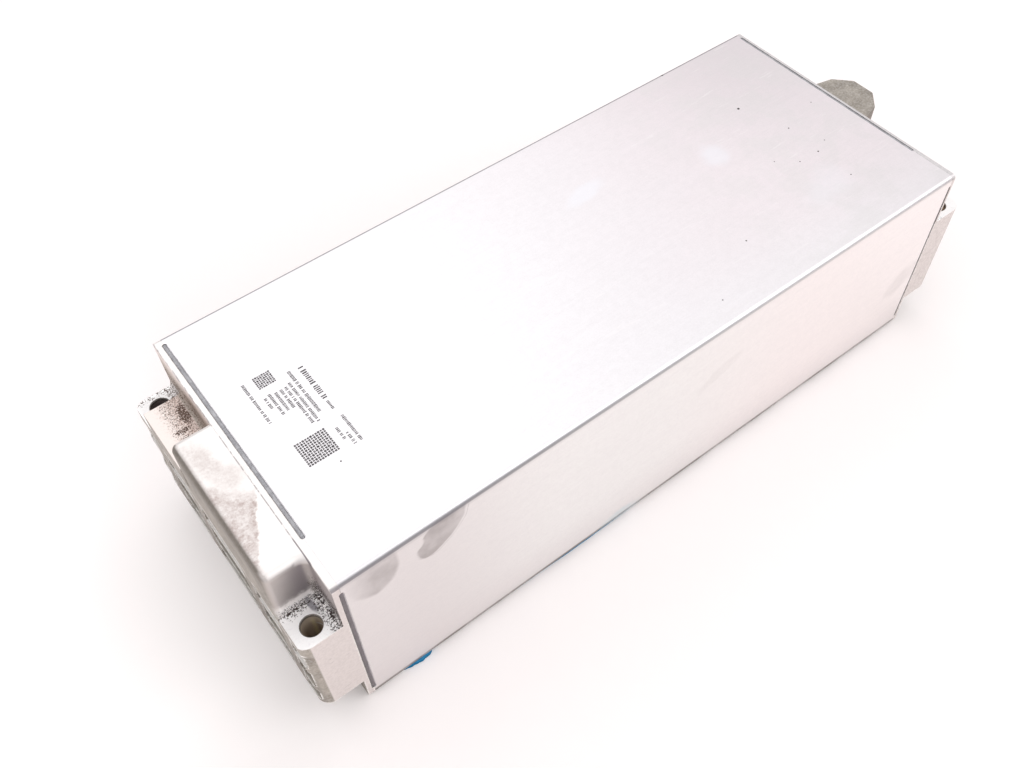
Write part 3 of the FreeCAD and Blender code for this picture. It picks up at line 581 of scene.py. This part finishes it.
def castFinish(name, side):
    f = Finish(name, castPlaces)
    look, blots = castLook, castBlots
    near = side < 0
    y, z = f.place(1), f.place(2)
    outX = f.both(f.place(0), side)
    wide = f.sum("ABSOLUTE", y)
    ahead = f.both(f.facing(0), side)
    sidewise = f.sum("ABSOLUTE", f.facing(1))
    rising = f.facing(2)
    upward = f.step(rising, 0.86, 0.97)
    upright = f.opposite(upward)
    forward = f.step(ahead, 0.5, 0.9)
    sideways = f.step(sidewise, 0.965, 0.99)
    cloud = f.noise(90, 4, 0.6)
    grain = f.noise(900, 3, 0.65)
    pits = f.noise(2200, 2, 0.6)
    mottle = f.step(f.noise(1000, 4, 0.7, shift=(3, 1, 2)), 0.36, 0.64)
    ragged = f.nudge(f.noise(350, 4, 0.7), 0.006, z)
    away, angle = ringAround(f, look, side)
    overPads = f.ramp(z, "padsUp")
    pastJoint = f.ramp(outX, "joint")
    # as-cast skin, mottled, and browner high on the front, a painted shade below the top's edge
    f.colour = f.mix(f.step(cloud, 0.35, 0.7), look["raw"], look["rawDark"])
    f.paint(f.step(grain, 0.35, 0.75, 0.0, 0.35), look["worn"])
    high = f.ramp(f.nudge(cloud, 0.006, z), "highUp", 0.0, 0.7)
    f.paint(f.both(high, upright), look["rawShade"])
    # outer sides of the ears and of the rim
    outer = f.both(sideways, f.ramp(wide, "outer"))
    scratch = f.noise(1, 3, 0.6, stretch=(160, 40, 700), turn=(0, 0.5, 0))
    sideTone = f.mix(f.step(scratch, 0.62, 0.72, 0.0, 0.5), look["earSide"], look["earScratch"])
    sideGrain = f.step(grain, 0.35, 0.7, 0.0, 0.25 if near else 0.55)
    f.paint(outer, f.mix(sideGrain, sideTone, look["earGrain"]))
    # face of the rim above the pads and the shelf
    rimFace = f.both(f.ramp(outX, "rimFace"), overPads, f.opposite(sideways), f.ramp(z, "rimFaceUp"))
    bareRim = f.both(rimFace, upright)
    if near:
        # wall between the block and its near pad: purple-grey above, light below where the cutter passed
        beside = f.both(f.ramp(wide, "wallOut"), f.ramp(wide, "wallIn"), upright, overPads, pastJoint,
                        f.either(f.opposite(forward), f.ramp(outX, "wallFront")), f.step(y, 0.0, -0.001))
        wallTone = f.mix(f.ramp(ragged, "cutterUp"), look["wallLight"], look["wall"])
        # a painted reflection: the wall pales towards its outer end and upwards
        wallSheen = f.nudge(f.sum("SUBTRACT", z, 0.09), 0.25, f.nudge(cloud, 0.005, outX))
        wallSheen = f.both(f.ramp(wallSheen, "pale"), f.ramp(ragged, "paleUp"))
        f.paint(beside, f.mix(wallSheen, wallTone, look["wallSheenTone"]))
        bareRim = f.both(bareRim, f.opposite(beside))
        rimTone = f.mix(f.ramp(z, "rimBrownUp"), look["rimBrown"], look["shelfLight"])
        rimTone = f.mix(f.step(y, 0.0, 0.01), look["rim"], rimTone)
    else:
        rimTone = f.mix(f.step(f.nudge(grain, 0.5, cloud), 0.55, 0.95), look["rim"], look["raw"])
    f.paint(bareRim, rimTone)
    # the root of the rim and of the wall is light where the cutter passed
    footing = f.both(f.ramp(ragged, "footUp", 0.0, 1.0 if near else 0.5), overPads, pastJoint,
                     f.ramp(wide, "footIn"), f.ramp(wide, "footOut"), f.ramp(outX, "footFront"))
    f.paint(footing, look["wallLight"])
    if near:
        # light strip in the corner of the wall with the rim
        edgeX = f.nudge(f.noise(500, 4, 0.7, shift=(1, 7, 3)), 0.0022, outX)
        strip = f.both(f.band(edgeX, "strip", 0.3), f.ramp(wide, "stripOut"), f.ramp(wide, "wallIn"),
                       f.ramp(ragged, "stripUp", 0.15), upright, beside, 0.9)
        f.paint(strip, look["wallLight"])
    # the turned front corner of the block catches light
    lit = f.both(f.step(ahead, 0.25, 0.55), f.step(ahead, 0.97, 0.8), f.step(rising, 0.6, 0.3),
                 f.ramp(z, "blockUp"), 0.5)
    f.paint(lit, look["corner"])
    # top of the block and of the rim: near white with pinkish stains
    turned = f.both(f.step(rising, 0.3, 0.75), f.step(ahead, 0.35, 0.1))
    byRim = f.both(f.ramp(outX, "byRim"), f.ramp(f.nudge(outX, 0.8, z), "byRimUp"))
    level = f.sum("ADD", z, f.ramp(outX, "cornerDrop", -0.0065, 0.0))
    topmost = f.both(f.either(f.step(rising, 0.8, 0.995), turned, byRim), f.ramp(level, "topUp"))
    if near:
        wedge = f.both(*[f.side(*line) for line in blots["wedge"]])
        stains = f.either(f.both(wedge, f.step(cloud, 0.3, 0.62, 0.45)), f.spots(blots["stains"]),
                          f.ramp(outX, "frontStain", 0.0, 0.7))
        patches = f.step(f.noise(330, 4, 0.65, shift=(7, 3, 1)), 0.32, 0.66)
        patches = f.nudge(mottle, 0.35, f.nudge(patches, 0.5, 0.28))
        topTone = f.mix(f.both(stains, patches), look["top"], look["stain"])
    else:
        topmost = f.both(topmost, f.ramp(outX, "farRimTop"))
        topTone = f.mix(f.step(grain, 0.3, 0.7, 0.0, 0.4), look["rimTop"], look["top"])
    f.paint(topmost, topTone)
    if near:
        # crack between the block and the rim, and the grey line where the rim's long edge turns, a painted
        # shade
        dashes = f.step(f.noise(260, 3, 0.6), 0.42, 0.54, 0.0, 0.6)
        crack = f.both(f.band(outX, "crack", 0.2), f.ramp(z, "crackUp"),
                       f.either(f.ramp(y, "crackWhole"), dashes), f.ramp(y, "crackEnd"))
        f.paint(crack, look["wall"])
        rimEdgeShade = f.both(f.step(sidewise, 0.3, 0.75), f.step(sidewise, 1.0, 0.97), f.ramp(z, "rimTurnUp"),
                         f.ramp(y, "rimTurn"), 0.85)
        f.paint(rimEdgeShade, look["rimEdgeShade"])
    # lower shelf, pinkish, lighter towards its front edge
    onShelf = f.both(upward, f.band(z, "shelfUp", 0.6), f.ramp(y, "shelfSide"))
    shelfTone = f.ramp(f.nudge(mottle, 0.006, outX), "shelfFront")
    shelfTone = f.mix(shelfTone, look["shelf"], look["shelfLight"])
    f.paint(onShelf, f.mix(f.both(mottle, 0.35), shelfTone, look["shelfLight"]))
    # machined pads round the bolt holes, up to the line where the cutter stopped
    onPad = f.both(upward, f.band(z, "padUp", 0.3), f.ramp(wide, "padSide"))
    cutterMarks = f.step(streaks(f, away, angle, 9.0, 420.0), 0.5, 0.8, 0.0, 0.55)
    f.paint(onPad, f.mix(cutterMarks, look["milled"], look["milledDark"]))
    # painted shade on the pad in its corner by the wall and the rim
    padShade = f.both(f.blot(*blots["padShade"]), f.ramp(z, "padShadeUp"), 0.9)
    f.paint(padShade, look["padShade"])
    # bores, olive, with a light streak; painted shade darkens the bores on the far (+Y) side and the mouth
    inBore = f.both(f.ramp(away, "bore"), upright)
    streak = f.both(f.between(f.nudge(cloud, 0.5, angle), -1.98, -1.62, 0.18),
                    f.step(y, 0.0, -0.01, 0.15, 0.85), f.ramp(z, "streakUp"))
    boreTone = f.mix(f.step(y, -0.01, 0.01), look["bore"], look["boreFarShade"])
    f.paint(inBore, f.mix(streak, boreTone, look["boreLight"]))
    mouth = f.both(f.band(f.nudge(grain, 0.0004, away), "mouth", 0.1), f.ramp(z, "mouthUp"), 0.9)
    f.paint(mouth, look["boreMouthShade"])
    # painted shade low on the front; edges made light, partly wear and partly a painted highlight; and a
    # thin painted highlight line
    f.paint(f.both(forward, f.ramp(z, "lowUp"), 0.6), look["rawShade"])
    rims = f.both(f.edges(1.5, 0.99, 0.84), f.step(f.noise(260, 4, 0.7), 0.36, 0.52, 0.1),
                  f.ramp(z, "wornUp"))
    wearAndHighlight = f.both(forward, f.band(f.nudge(cloud, 0.0006, z), "highlightLineUp", 0.3),
                   f.step(f.noise(120, 4, 0.7), 0.35, 0.5, 0.35), 1.0 if near else 0.25)
    f.paint(f.either(rims, wearAndHighlight), look["wearAndHighlight"])
    bright = footing
    if near:
        # the front part of the upper rib's ledge catches light
        ledge = f.both(upward, f.band(z, "ledgeUp", 0.3), f.ramp(outX, "ledgeFront"), 0.95)
        f.paint(ledge, look["wearAndHighlight"])
        bright = f.either(footing, ledge)
    # black specks: the thickness of their cover moves the threshold of one noise
    inner = f.opposite(outer)
    fromPads = f.ramp(z, "specksUp")
    dashes = f.step(f.noise(420, 3, 0.6, shift=(4, 4, 1)), 0.4, 0.56, 0.45)
    cover = f.either(
        f.both(f.ramp(outX, "speckRim"), f.ramp(wide, "speckRimOut"), f.ramp(z, "speckRimUp"),
               fromPads, inner, 0.72),
        f.both(f.band(wide, "speckLine", 0.4), f.ramp(z, "speckLineUp"), fromPads, dashes, 1.35),
        f.both(f.ramp(wide, "speckIn"), f.ramp(wide, "speckOut"), f.ramp(z, "speckRootUp"),
               fromPads, f.ramp(outX, "speckFront"), 0.76),
        f.both(onPad, f.ramp(y, "speckPad"), 0.7),
        f.both(rimFace, f.ramp(y, "speckFace"), f.ramp(z, "speckFaceUp"), inner, 0.9))
    if near:
        cover = f.either(
            cover, f.spots(blots["rimSpecks"]), f.both(onShelf, f.spots(blots["shelfSpecks"])),
            f.both(rimFace, f.ramp(y, "shelfRim"), f.ramp(z, "shelfRimUp"), 0.75),
            f.both(onShelf, f.ramp(outX, "speckShelf"), 0.6))
    dust = f.noise(1400, 3, 0.75, shift=(5, 2, 7))
    specks = f.both(f.step(f.nudge(cover, 0.22, dust), 0.66, 0.705), f.step(cover, 0.05, 0.2),
                    1.0 if near else 0.35)
    f.paint(specks, f.mix(f.step(y, 0.01, 0.02, 0.0, 0.9), look["speck"], look["speckBrown"]))
    rough = f.nudge(specks, 0.3, f.nudge(onPad, -0.12, f.nudge(upward, -0.1, 0.55)))
    metal = f.both(f.nudge(specks, -0.9, 1.0), f.nudge(f.either(f.both(inBore, 0.65), bright), -0.95, 1.0))
    height = f.nudge(pits, 0.5, grain)
    return f.set(rough=rough, metal=metal, normal=f.bump(height, 0.35, 0.06, f.rounded(0.2)))


smoothCopy("end_plate_near", "nearCasting", "cast_aluminium", castFinish("castNear", -1.0))
smoothCopy("end_plate_far", "farCasting", "cast_aluminium", castFinish("castFar", 1.0))
print("castings dressed")


# weld seams: a low rippled bead in each groove
seamShape = dict(
    grooveDepth=0.6,
    sink=0.12,
    ripplePitch=1.1,
    ripple=0.05,
    step=0.2,
    around=12,
    runIn=0.55,
    crown=0.7,
    chevron=0.35,
    fill=0.985,
    near={"x": -175.5, "width": 2.05, "seed": 20},
    far={"x": 176.9, "width": 1.5, "seed": 30},
    y=(-50.0, 70.5),
    z=(6.8, 104.8),
    top=110.8,
    bottom=0.8,
    halfWidth=75.0,
    grey=(0.44, 0.44, 0.46),
    dark=(0.27, 0.265, 0.28),
    bright=(0.6, 0.6, 0.62),
    side=(0.17, 0.145, 0.155),
)


def seamSkin(start, end, outward, across, width, seed):
    # closed profile carried along a line: half width times cos t across, and a crown times sin t out of the
    # groove, flat below; the width runs in to nothing at both ends like half an ellipse
    look = seamShape
    rng = np.random.default_rng(seed)
    length = float(np.linalg.norm(end - start))
    count = int(length / look["step"])
    s = np.linspace(0.0, 1.0, count + 2)[1:-1]
    along = s * length
    reach = np.minimum(along, length - along)
    cap = np.sqrt(np.clip(1.0 - (1.0 - np.clip(reach / (width * look["runIn"]), 0.0, 1.0)) ** 2, 0.0, 1.0))
    waves = rng.uniform(0.0, 2.0 * np.pi, 5)
    swell = sum(np.sin(along * f + p) for f, p in zip((0.11, 0.23, 0.47, 0.9, 1.7), waves)) / 5.0
    half = 0.5 * width * cap * (0.94 + 0.05 * swell)
    t = np.linspace(0.0, 2.0 * np.pi, look["around"], endpoint=False)
    sideways = half[:, None] * np.cos(t)[None, :]
    crown = np.clip(np.sin(t), 0.0, 1.0) ** look["crown"]
    chevron = np.abs(np.cos(t)) * width * look["chevron"]
    phase = 2.0 * np.pi * (along[:, None] + chevron[None, :]) / look["ripplePitch"]
    rise = (look["grooveDepth"] - look["sink"] + 0.03 * swell[:, None]) * cap[:, None] ** 0.5
    out = crown[None, :] * (rise + look["ripple"] * np.sin(phase + 0.8 * swell[:, None]))
    centre = start + (end - start) * s[:, None]
    rings = centre[:, None, :] + sideways[..., None] * across + out[..., None] * outward
    if np.dot(np.cross(across, outward), end - start) < 0.0:
        rings = rings[:, ::-1]
    return skin(rings * mm, start * mm, end * mm)


def seamSet(name, place, node, material):
    look = seamShape
    x = place["x"]
    axes = np.eye(3)
    y0, y1 = look["y"]
    z0, z1 = look["z"]
    deep = look["grooveDepth"]
    top, bottom, half = look["top"], look["bottom"], look["halfWidth"]
    runs = [
        ((x, y0, top - deep), (x, y1, top - deep), axes[2]),
        ((x, y0, bottom + deep), (x, y1, bottom + deep), -axes[2]),
        ((x, -half + deep, z0), (x, -half + deep, z1), -axes[1]),
        ((x, half - deep, z0), (x, half - deep, z1), axes[1]),
    ]
    width = place["width"] * look["fill"]
    parts = [seamSkin(np.array(a), np.array(b), n, axes[0], width, place["seed"] + i)
             for i, (a, b, n) in enumerate(runs)]
    points, faces = joined(parts)
    piece = meshObject(name, points, faces, material)
    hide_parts(node)


def weldFinish():
    f = Finish("weldMetal")
    look = seamShape
    grain = f.noise(1400, 4, 0.7)
    cloud = f.noise(160, 3, 0.6)
    f.colour = f.mix(f.step(grain, 0.35, 0.7), look["grey"], look["dark"])
    f.paint(f.step(cloud, 0.45, 0.7, 0.0, 0.6), look["bright"])
    # painted shade: bead faces turned sideways are darker
    f.paint(f.step(f.sum("ABSOLUTE", f.facing(1)), 0.7, 0.9, 0.0, 0.8), look["side"])
    return f.set(rough=0.5, metal=0.8, normal=f.bump(grain, 0.5, 0.05))


weldMetal = weldFinish()
seamSet("nearSeams", seamShape["near"], "weld_beads_near", weldMetal)
seamSet("farSeams", seamShape["far"], "weld_beads_far", weldMetal)
print("weld seams laid")


# old blue paste under the module
pasteShape = dict(
    thickness=0.8,
    ragged=0.06,
    taper=0.1,
    around=96,
    rings=8,
    seed=40,
    patches=[(-163, -142.5, -76.4, -38), (-104, -14, -74.6, -60), (-148, -96, 30, 76.6),
             (-40, 34, -30, 18), (58, 142, 34, 70), (88, 150, -72, -40)],
    colour=(0.0, 0.19, 0.4),
    pale=(0.04, 0.36, 0.62),
)


def pasteSkin(patch, seed):
    # polar sheet: radius of a rounded box at each angle, cut in by a few random waves; flat below, and
    # above it falls to half height at the rim like the edge of a pressed smear
    look = pasteShape
    rng = np.random.default_rng(seed)
    x0, x1, y0, y1 = patch
    t = np.linspace(0.0, 2.0 * np.pi, look["around"], endpoint=False)
    boxRadius = (np.abs(np.cos(t)) ** 6 + np.abs(np.sin(t)) ** 6) ** (-1.0 / 6.0)
    waves = sum(np.sin(k * t + rng.uniform(0.0, 2.0 * np.pi)) / k ** 0.5 for k in (3, 5, 8, 13, 21))
    wave = look["ragged"] * (waves / 3.0 - 0.6)
    radius = boxRadius * np.clip(1.0 + wave, 0.6, 1.0)
    r = np.linspace(0.0, 1.0, look["rings"] + 1)[1:] ** 0.7
    # towards its low x end the patch draws back from the side
    radius = radius * (1.0 - look["taper"] * np.clip(-np.cos(t), 0.0, 1.0) * np.clip(-np.sin(t), 0.0, 1.0))
    middle = np.array([(x0 + x1) / 2, (y0 + y1) / 2])
    halves = np.array([(x1 - x0) / 2, (y1 - y0) / 2])
    circle = np.stack([np.cos(t), np.sin(t)], -1)
    flat = middle + halves * r[:, None, None] * (radius[:, None] * circle)[None]
    drop = np.sqrt(np.clip(1.0 - r ** 14, 0.0, 1.0))
    above = look["thickness"] * (0.5 + 0.5 * drop)
    top = np.dstack([flat, np.broadcast_to(above[:, None], flat.shape[:2])])
    base = look["thickness"] * 0.5 * (1.0 - drop)
    under = np.dstack([flat, np.broadcast_to(base[:, None], flat.shape[:2])])[-2::-1]
    rings = np.concatenate([top, under]) * mm
    return skin(rings, np.array([*middle, look["thickness"]]) * mm, np.array([*middle, 0.0]) * mm)


def pasteFinish():
    f = Finish("oldPaste")
    look = pasteShape
    cloud = f.noise(220, 4, 0.6)
    fine = f.noise(1800, 2, 0.6)
    f.colour = f.mix(f.step(cloud, 0.4, 0.75), look["colour"], look["pale"])
    return f.set(rough=0.45, normal=f.bump(f.sum("ADD", cloud, fine), 0.4, 0.15))


pasteParts = [pasteSkin(patch, pasteShape["seed"] + i) for i, patch in enumerate(pasteShape["patches"])]
paste = meshObject("pasteSmears", *joined(pasteParts), pasteFinish())
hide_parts("underside_paste")
print("paste smeared")


# print near the blank end: plain bars and two hatched squares
printShape = dict(
    level=110.8,
    proud=0.03,
    seed=7,
    title={"bar": (0.45, 0.85), "spread": 1.35},
    line={"bar": (0.3, 0.54), "spread": 0.85},
    rows=[(-134.7, 22.5, 1, 2.8, "title"), (-140, 23.5, -3, 1.8), (-142.8, 18, -7, 1.6),
          (-145.1, 17, -6, 1.6), (-147.4, 17, 5, 1.6), (-149.9, 17, 5.5, 1.6), (-152.5, 18, 4.5, 1.6),
          (-154.9, 17, 10, 1.6), (-159.2, 29, 4.6, 1.6), (-133.8, -10, -26, 1.6), (-139, -14, -21, 1.6),
          (-136.7, -18.6, -26, 1.6), (-134.8, 0, -5, 1.4)],
    squares=[(-154.5, -146.2, 22.3, 30, 1.04), (-157.5, -143, -24, -10.3, 1.21)],
    ink=(0.03, 0.027, 0.03),
    wornInk=(0.25, 0.235, 0.24),
)


def barsInRow(rng, x, high, low, tall, kind="line"):
    # lengths and gaps drawn in turn until the row is full
    size = printShape[kind]["bar"]
    count = int((high - low) / (0.5 * sum(size) + 0.25)) + 1
    wide = rng.uniform(*size, count)
    gaps = np.where(rng.uniform(size=count) < 0.16, 1.1, 0.36) * printShape[kind]["spread"]
    start = high - np.concatenate([[0.0], np.cumsum(wide + gaps)[:-1]])
    keep = start - wide > low
    centre = (start - wide / 2)[keep]
    shorter = rng.uniform(0.7, 1.0, keep.sum()) * tall / 2
    return np.stack([np.full_like(centre, x), centre], -1), np.stack([shorter, wide[keep] / 2], -1)


def hatchSquare(x0, x1, y0, y1, pitch):
    # even lattice of small squares
    xs = np.arange(x0 + pitch / 2, x1, pitch)
    ys = np.arange(y0 + pitch / 2, y1, pitch)
    grid = np.stack(np.meshgrid(xs, ys, indexing="ij"), -1).reshape(-1, 2)
    swell = 1.0 + 0.22 * np.sin(1.9 * grid[:, :1]) * np.sin(2.3 * grid[:, 1:])
    return grid, np.repeat(pitch * 0.37 * swell, 2, axis=1)


def thinPlates(centres, halves, low, high):
    # eight corners of each plate: centre plus or minus its halves, at two levels
    signs = np.array([(-1, -1), (1, -1), (1, 1), (-1, 1)])
    flat = centres[:, None, :] + halves[:, None, :] * signs[None]
    lower = np.dstack([flat, np.full(flat.shape[:2], low)])
    upper = np.dstack([flat, np.full(flat.shape[:2], high)])
    points = np.concatenate([lower, upper], axis=1).reshape(-1, 3)
    box = np.array([(3, 2, 1, 0), (4, 5, 6, 7), (0, 1, 5, 4), (1, 2, 6, 5), (2, 3, 7, 6), (3, 0, 4, 7)])
    faces = (np.arange(len(centres)) * 8)[:, None, None] + box[None]
    return points, faces.reshape(-1, 4)


def inkFinish():
    f = Finish("ink")
    wear = f.noise(1500, 3, 0.7)
    f.colour = f.mix(f.step(wear, 0.42, 0.68), printShape["ink"], printShape["wornInk"])
    return f.set(rough=0.6, normal=f.bump(wear, 0.2, 0.01))


rng = np.random.default_rng(printShape["seed"])
fields = [barsInRow(rng, *row) for row in printShape["rows"]]
fields += [hatchSquare(*square) for square in printShape["squares"]]
centres = np.vstack([c for c, h in fields])
halves = np.vstack([h for c, h in fields])
level = printShape["level"]
platePoints, plateFaces = thinPlates(centres, halves, level, level + printShape["proud"])
meshObject("printFields", platePoints * mm, plateFaces, inkFinish(), smooth=False)
print("print laid on the top")


# everything inside and the terminal end: one finish for each material
def moulded(name, colour, dark, rough, grain, depth, metal=0.0):
    # moulded or rolled stuff: a cloudy tone, a fine grain in the surface, and lighter edges, partly wear
    # and partly a painted highlight
    f = Finish(name)
    cloud = f.noise(45, 3, 0.6)
    fine = f.noise(grain, 3, 0.6)
    f.colour = f.mix(f.step(f.nudge(fine, 0.4, cloud), 0.45, 0.95), colour, dark)
    pale = tuple(min(1.0, c * 1.25 + 0.05) for c in colour)
    f.paint(f.both(f.edges(0.3), 0.5), pale)
    roughness = f.step(fine, 0.2, 0.8, rough - 0.06, rough + 0.08)
    normal = f.bump(fine, 0.3, depth, f.rounded(0.2))
    return f.set(rough=roughness, metal=metal, normal=normal)


finishes = dict(
    foil=moulded("pouchFoil", (0.8, 0.8, 0.81), (0.66, 0.66, 0.68), 0.3, 350, 0.05, 1),
    foam=moulded("padFoam", (0.06, 0.06, 0.065), (0.032, 0.032, 0.036), 0.9, 1600, 0.12),
    heat=moulded("heatPaste", (0.55, 0.6, 0.66), (0.44, 0.49, 0.55), 0.5, 400, 0.1),
    film=moulded("clearFilm", (0.82, 0.83, 0.8), (0.74, 0.75, 0.72), 0.22, 300, 0.02),
    frame=moulded("framePlastic", (0.035, 0.036, 0.038), (0.022, 0.022, 0.024), 0.5, 1200, 0.03),
    cover=moulded("coverPlastic", (0.72, 0.71, 0.67), (0.64, 0.62, 0.58), 0.45, 1100, 0.03),
    bar=moulded("barAluminium", (0.84, 0.84, 0.85), (0.72, 0.72, 0.73), 0.33, 900, 0.02, 1),
    copper=moulded("platedCopper", (0.76, 0.72, 0.67), (0.62, 0.56, 0.5), 0.28, 800, 0.015, 1),
    steel=moulded("nutSteel", (0.62, 0.61, 0.58), (0.46, 0.45, 0.42), 0.34, 900, 0.02, 1),
    orange=moulded("terminalPlastic", (0.8, 0.2, 0.012), (0.66, 0.15, 0.01), 0.42, 1200, 0.03),
    socket=moulded("socketPlastic", (0.028, 0.028, 0.03), (0.018, 0.018, 0.02), 0.45, 1200, 0.03),
    gasket=moulded("gasketRubber", (0.34, 0.075, 0.045), (0.25, 0.055, 0.035), 0.7, 1300, 0.03),
    pin=moulded("pinMetal", (0.78, 0.77, 0.74), (0.66, 0.64, 0.6), 0.25, 900, 0.01, 1),
    flex=moulded("flexFilm", (0.58, 0.27, 0.045), (0.46, 0.2, 0.03), 0.3, 500, 0.02),
    resin=moulded("sensorResin", (0.028, 0.028, 0.03), (0.02, 0.02, 0.022), 0.35, 900, 0.03),
)

wearers = dict(
    foil=["cell_%02d" % n for n in range(1, 13)],
    foam=["foam_pad_%d" % n for n in range(1, 6)] + ["side_pad_left", "side_pad_right"],
    heat=["heat_bed"],
    film=["top_film"],
    frame=["busbar_frame_near", "busbar_frame_far"],
    cover=["end_cover_near", "end_cover_far"],
    bar=["busbar_link_%d" % n for n in range(1, 6)],
    copper=["busbar_positive", "busbar_negative"],
    orange=["terminal_block_positive", "terminal_block_negative"],
    socket=["signal_socket"],
    gasket=["socket_gasket"],
    pin=["socket_pins"],
    flex=["sensing_flex"],
    resin=["temperature_sensors"],
)

shownRounds = dict(
    terminal_block_positive=("positiveBlock", "terminal_plastic"),
    terminal_block_negative=("negativeBlock", "terminal_plastic"),
    signal_socket=("signalSocket", "socket_plastic"),
    busbar_positive=("positiveBar", "plated_copper"),
    busbar_negative=("negativeBar", "plated_copper"),
)

for stuff, nodeNames in wearers.items():
    for nodeName in nodeNames:
        if nodeName in shownRounds:
            smoothCopy(nodeName, *shownRounds[nodeName], finishes[stuff])
        else:
            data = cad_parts[nodeName].data
            data.materials.clear()
            data.materials.append(finishes[stuff])
print("inner pieces and terminals dressed")


# captive nuts: hexagons with cut corners and an inner thread
nutShape = dict(
    centres=((188.0, 36.0), (188.0, -36.0)),
    low=79.8,
    high=84.8,
    flats=10.0,
    cornerCut=5.2,
    bore=2.5,
    threadDepth=0.5,
    pitch=1.0,
    mouth=0.4,
    around=72,
    rows=60,
)


def nutSkin(centre):
    # closed section carried round the axis: the bore's radius swings with height less each turn's share of
    # the pitch, and the outer radius at each angle is that of the hexagon
    look = nutShape
    low, high, mouth = look["low"], look["high"], look["mouth"]
    t = np.linspace(0.0, -2.0 * np.pi, look["around"], endpoint=False)
    hexagon = 0.5 * look["flats"] / np.cos(np.mod(t, np.pi / 3.0) - np.pi / 6.0)
    z = np.linspace(low, high - mouth, look["rows"])[:, None] + 0.0 * t[None, :]
    swing = np.clip(0.5 + 0.75 * np.cos(2.0 * np.pi * z / look["pitch"] - t[None, :]), 0.0, 1.0)
    fade = np.clip((z - low) / 0.6, 0.0, 1.0) * np.clip((high - mouth - z) / 0.2, 0.0, 1.0)
    bore = look["bore"] + look["threadDepth"] * swing * fade
    shoulder = np.minimum(hexagon, look["cornerCut"]) * 0.985
    drop = 0.05 + 0.5 * np.clip(hexagon - look["cornerCut"], 0.0, None)
    radius = np.vstack([bore, np.full_like(t, look["bore"] + mouth), shoulder, hexagon, hexagon, shoulder])
    level = np.vstack([z, np.full_like(t, high), np.full_like(t, high), high - drop, low + drop,
                       np.full_like(t, low)])
    rings = np.stack([centre[0] + radius * np.cos(t), centre[1] + radius * np.sin(t), level], axis=-1)
    return skin(rings * mm, wrap=True)


nutParts = [nutSkin(centre) for centre in nutShape["centres"]]
nuts = meshObject("threadedNuts", *joined(nutParts), finishes["steel"])
nuts.data.set_sharp_from_angle(angle=math.radians(35.0))
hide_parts("terminal_nuts")

# raised plus and minus on the fronts of the terminal blocks
markShape = dict(
    back=196.8,
    front=197.4,
    z=76.5,
    y=36.0,
    reach=3.6,
    half=0.8,
)


def raisedMark(outline):
    # outline (y, z), counter-clockwise seen from the front, drawn out along x
    count = len(outline)
    levels = (markShape["back"], markShape["front"])
    points = np.vstack([np.column_stack([np.full(count, x), outline]) for x in levels])
    faces = [list(range(count, 2 * count)), list(range(count - 1, -1, -1))]
    faces += [[i, (i + 1) % count, (i + 1) % count + count, i + count] for i in range(count)]
    return points * mm, faces


long, short = markShape["reach"], markShape["half"]
plus = np.array([(short, short), (short, long), (-short, long), (-short, short), (-long, short),
                 (-long, -short), (-short, -short), (-short, -long), (short, -long), (short, -short),
                 (long, -short), (long, short)])
minus = np.array([(long, short), (-long, short), (-long, -short), (long, -short)])
markParts = [raisedMark(plus + (markShape["y"], markShape["z"])),
             raisedMark(minus + (-markShape["y"], markShape["z"]))]
marks = meshObject("polarityMarks", *joined(markParts), finishes["orange"], smooth=False)
print("nuts threaded and terminals marked")

bpy.context.scene.view_settings.view_transform = "Standard"
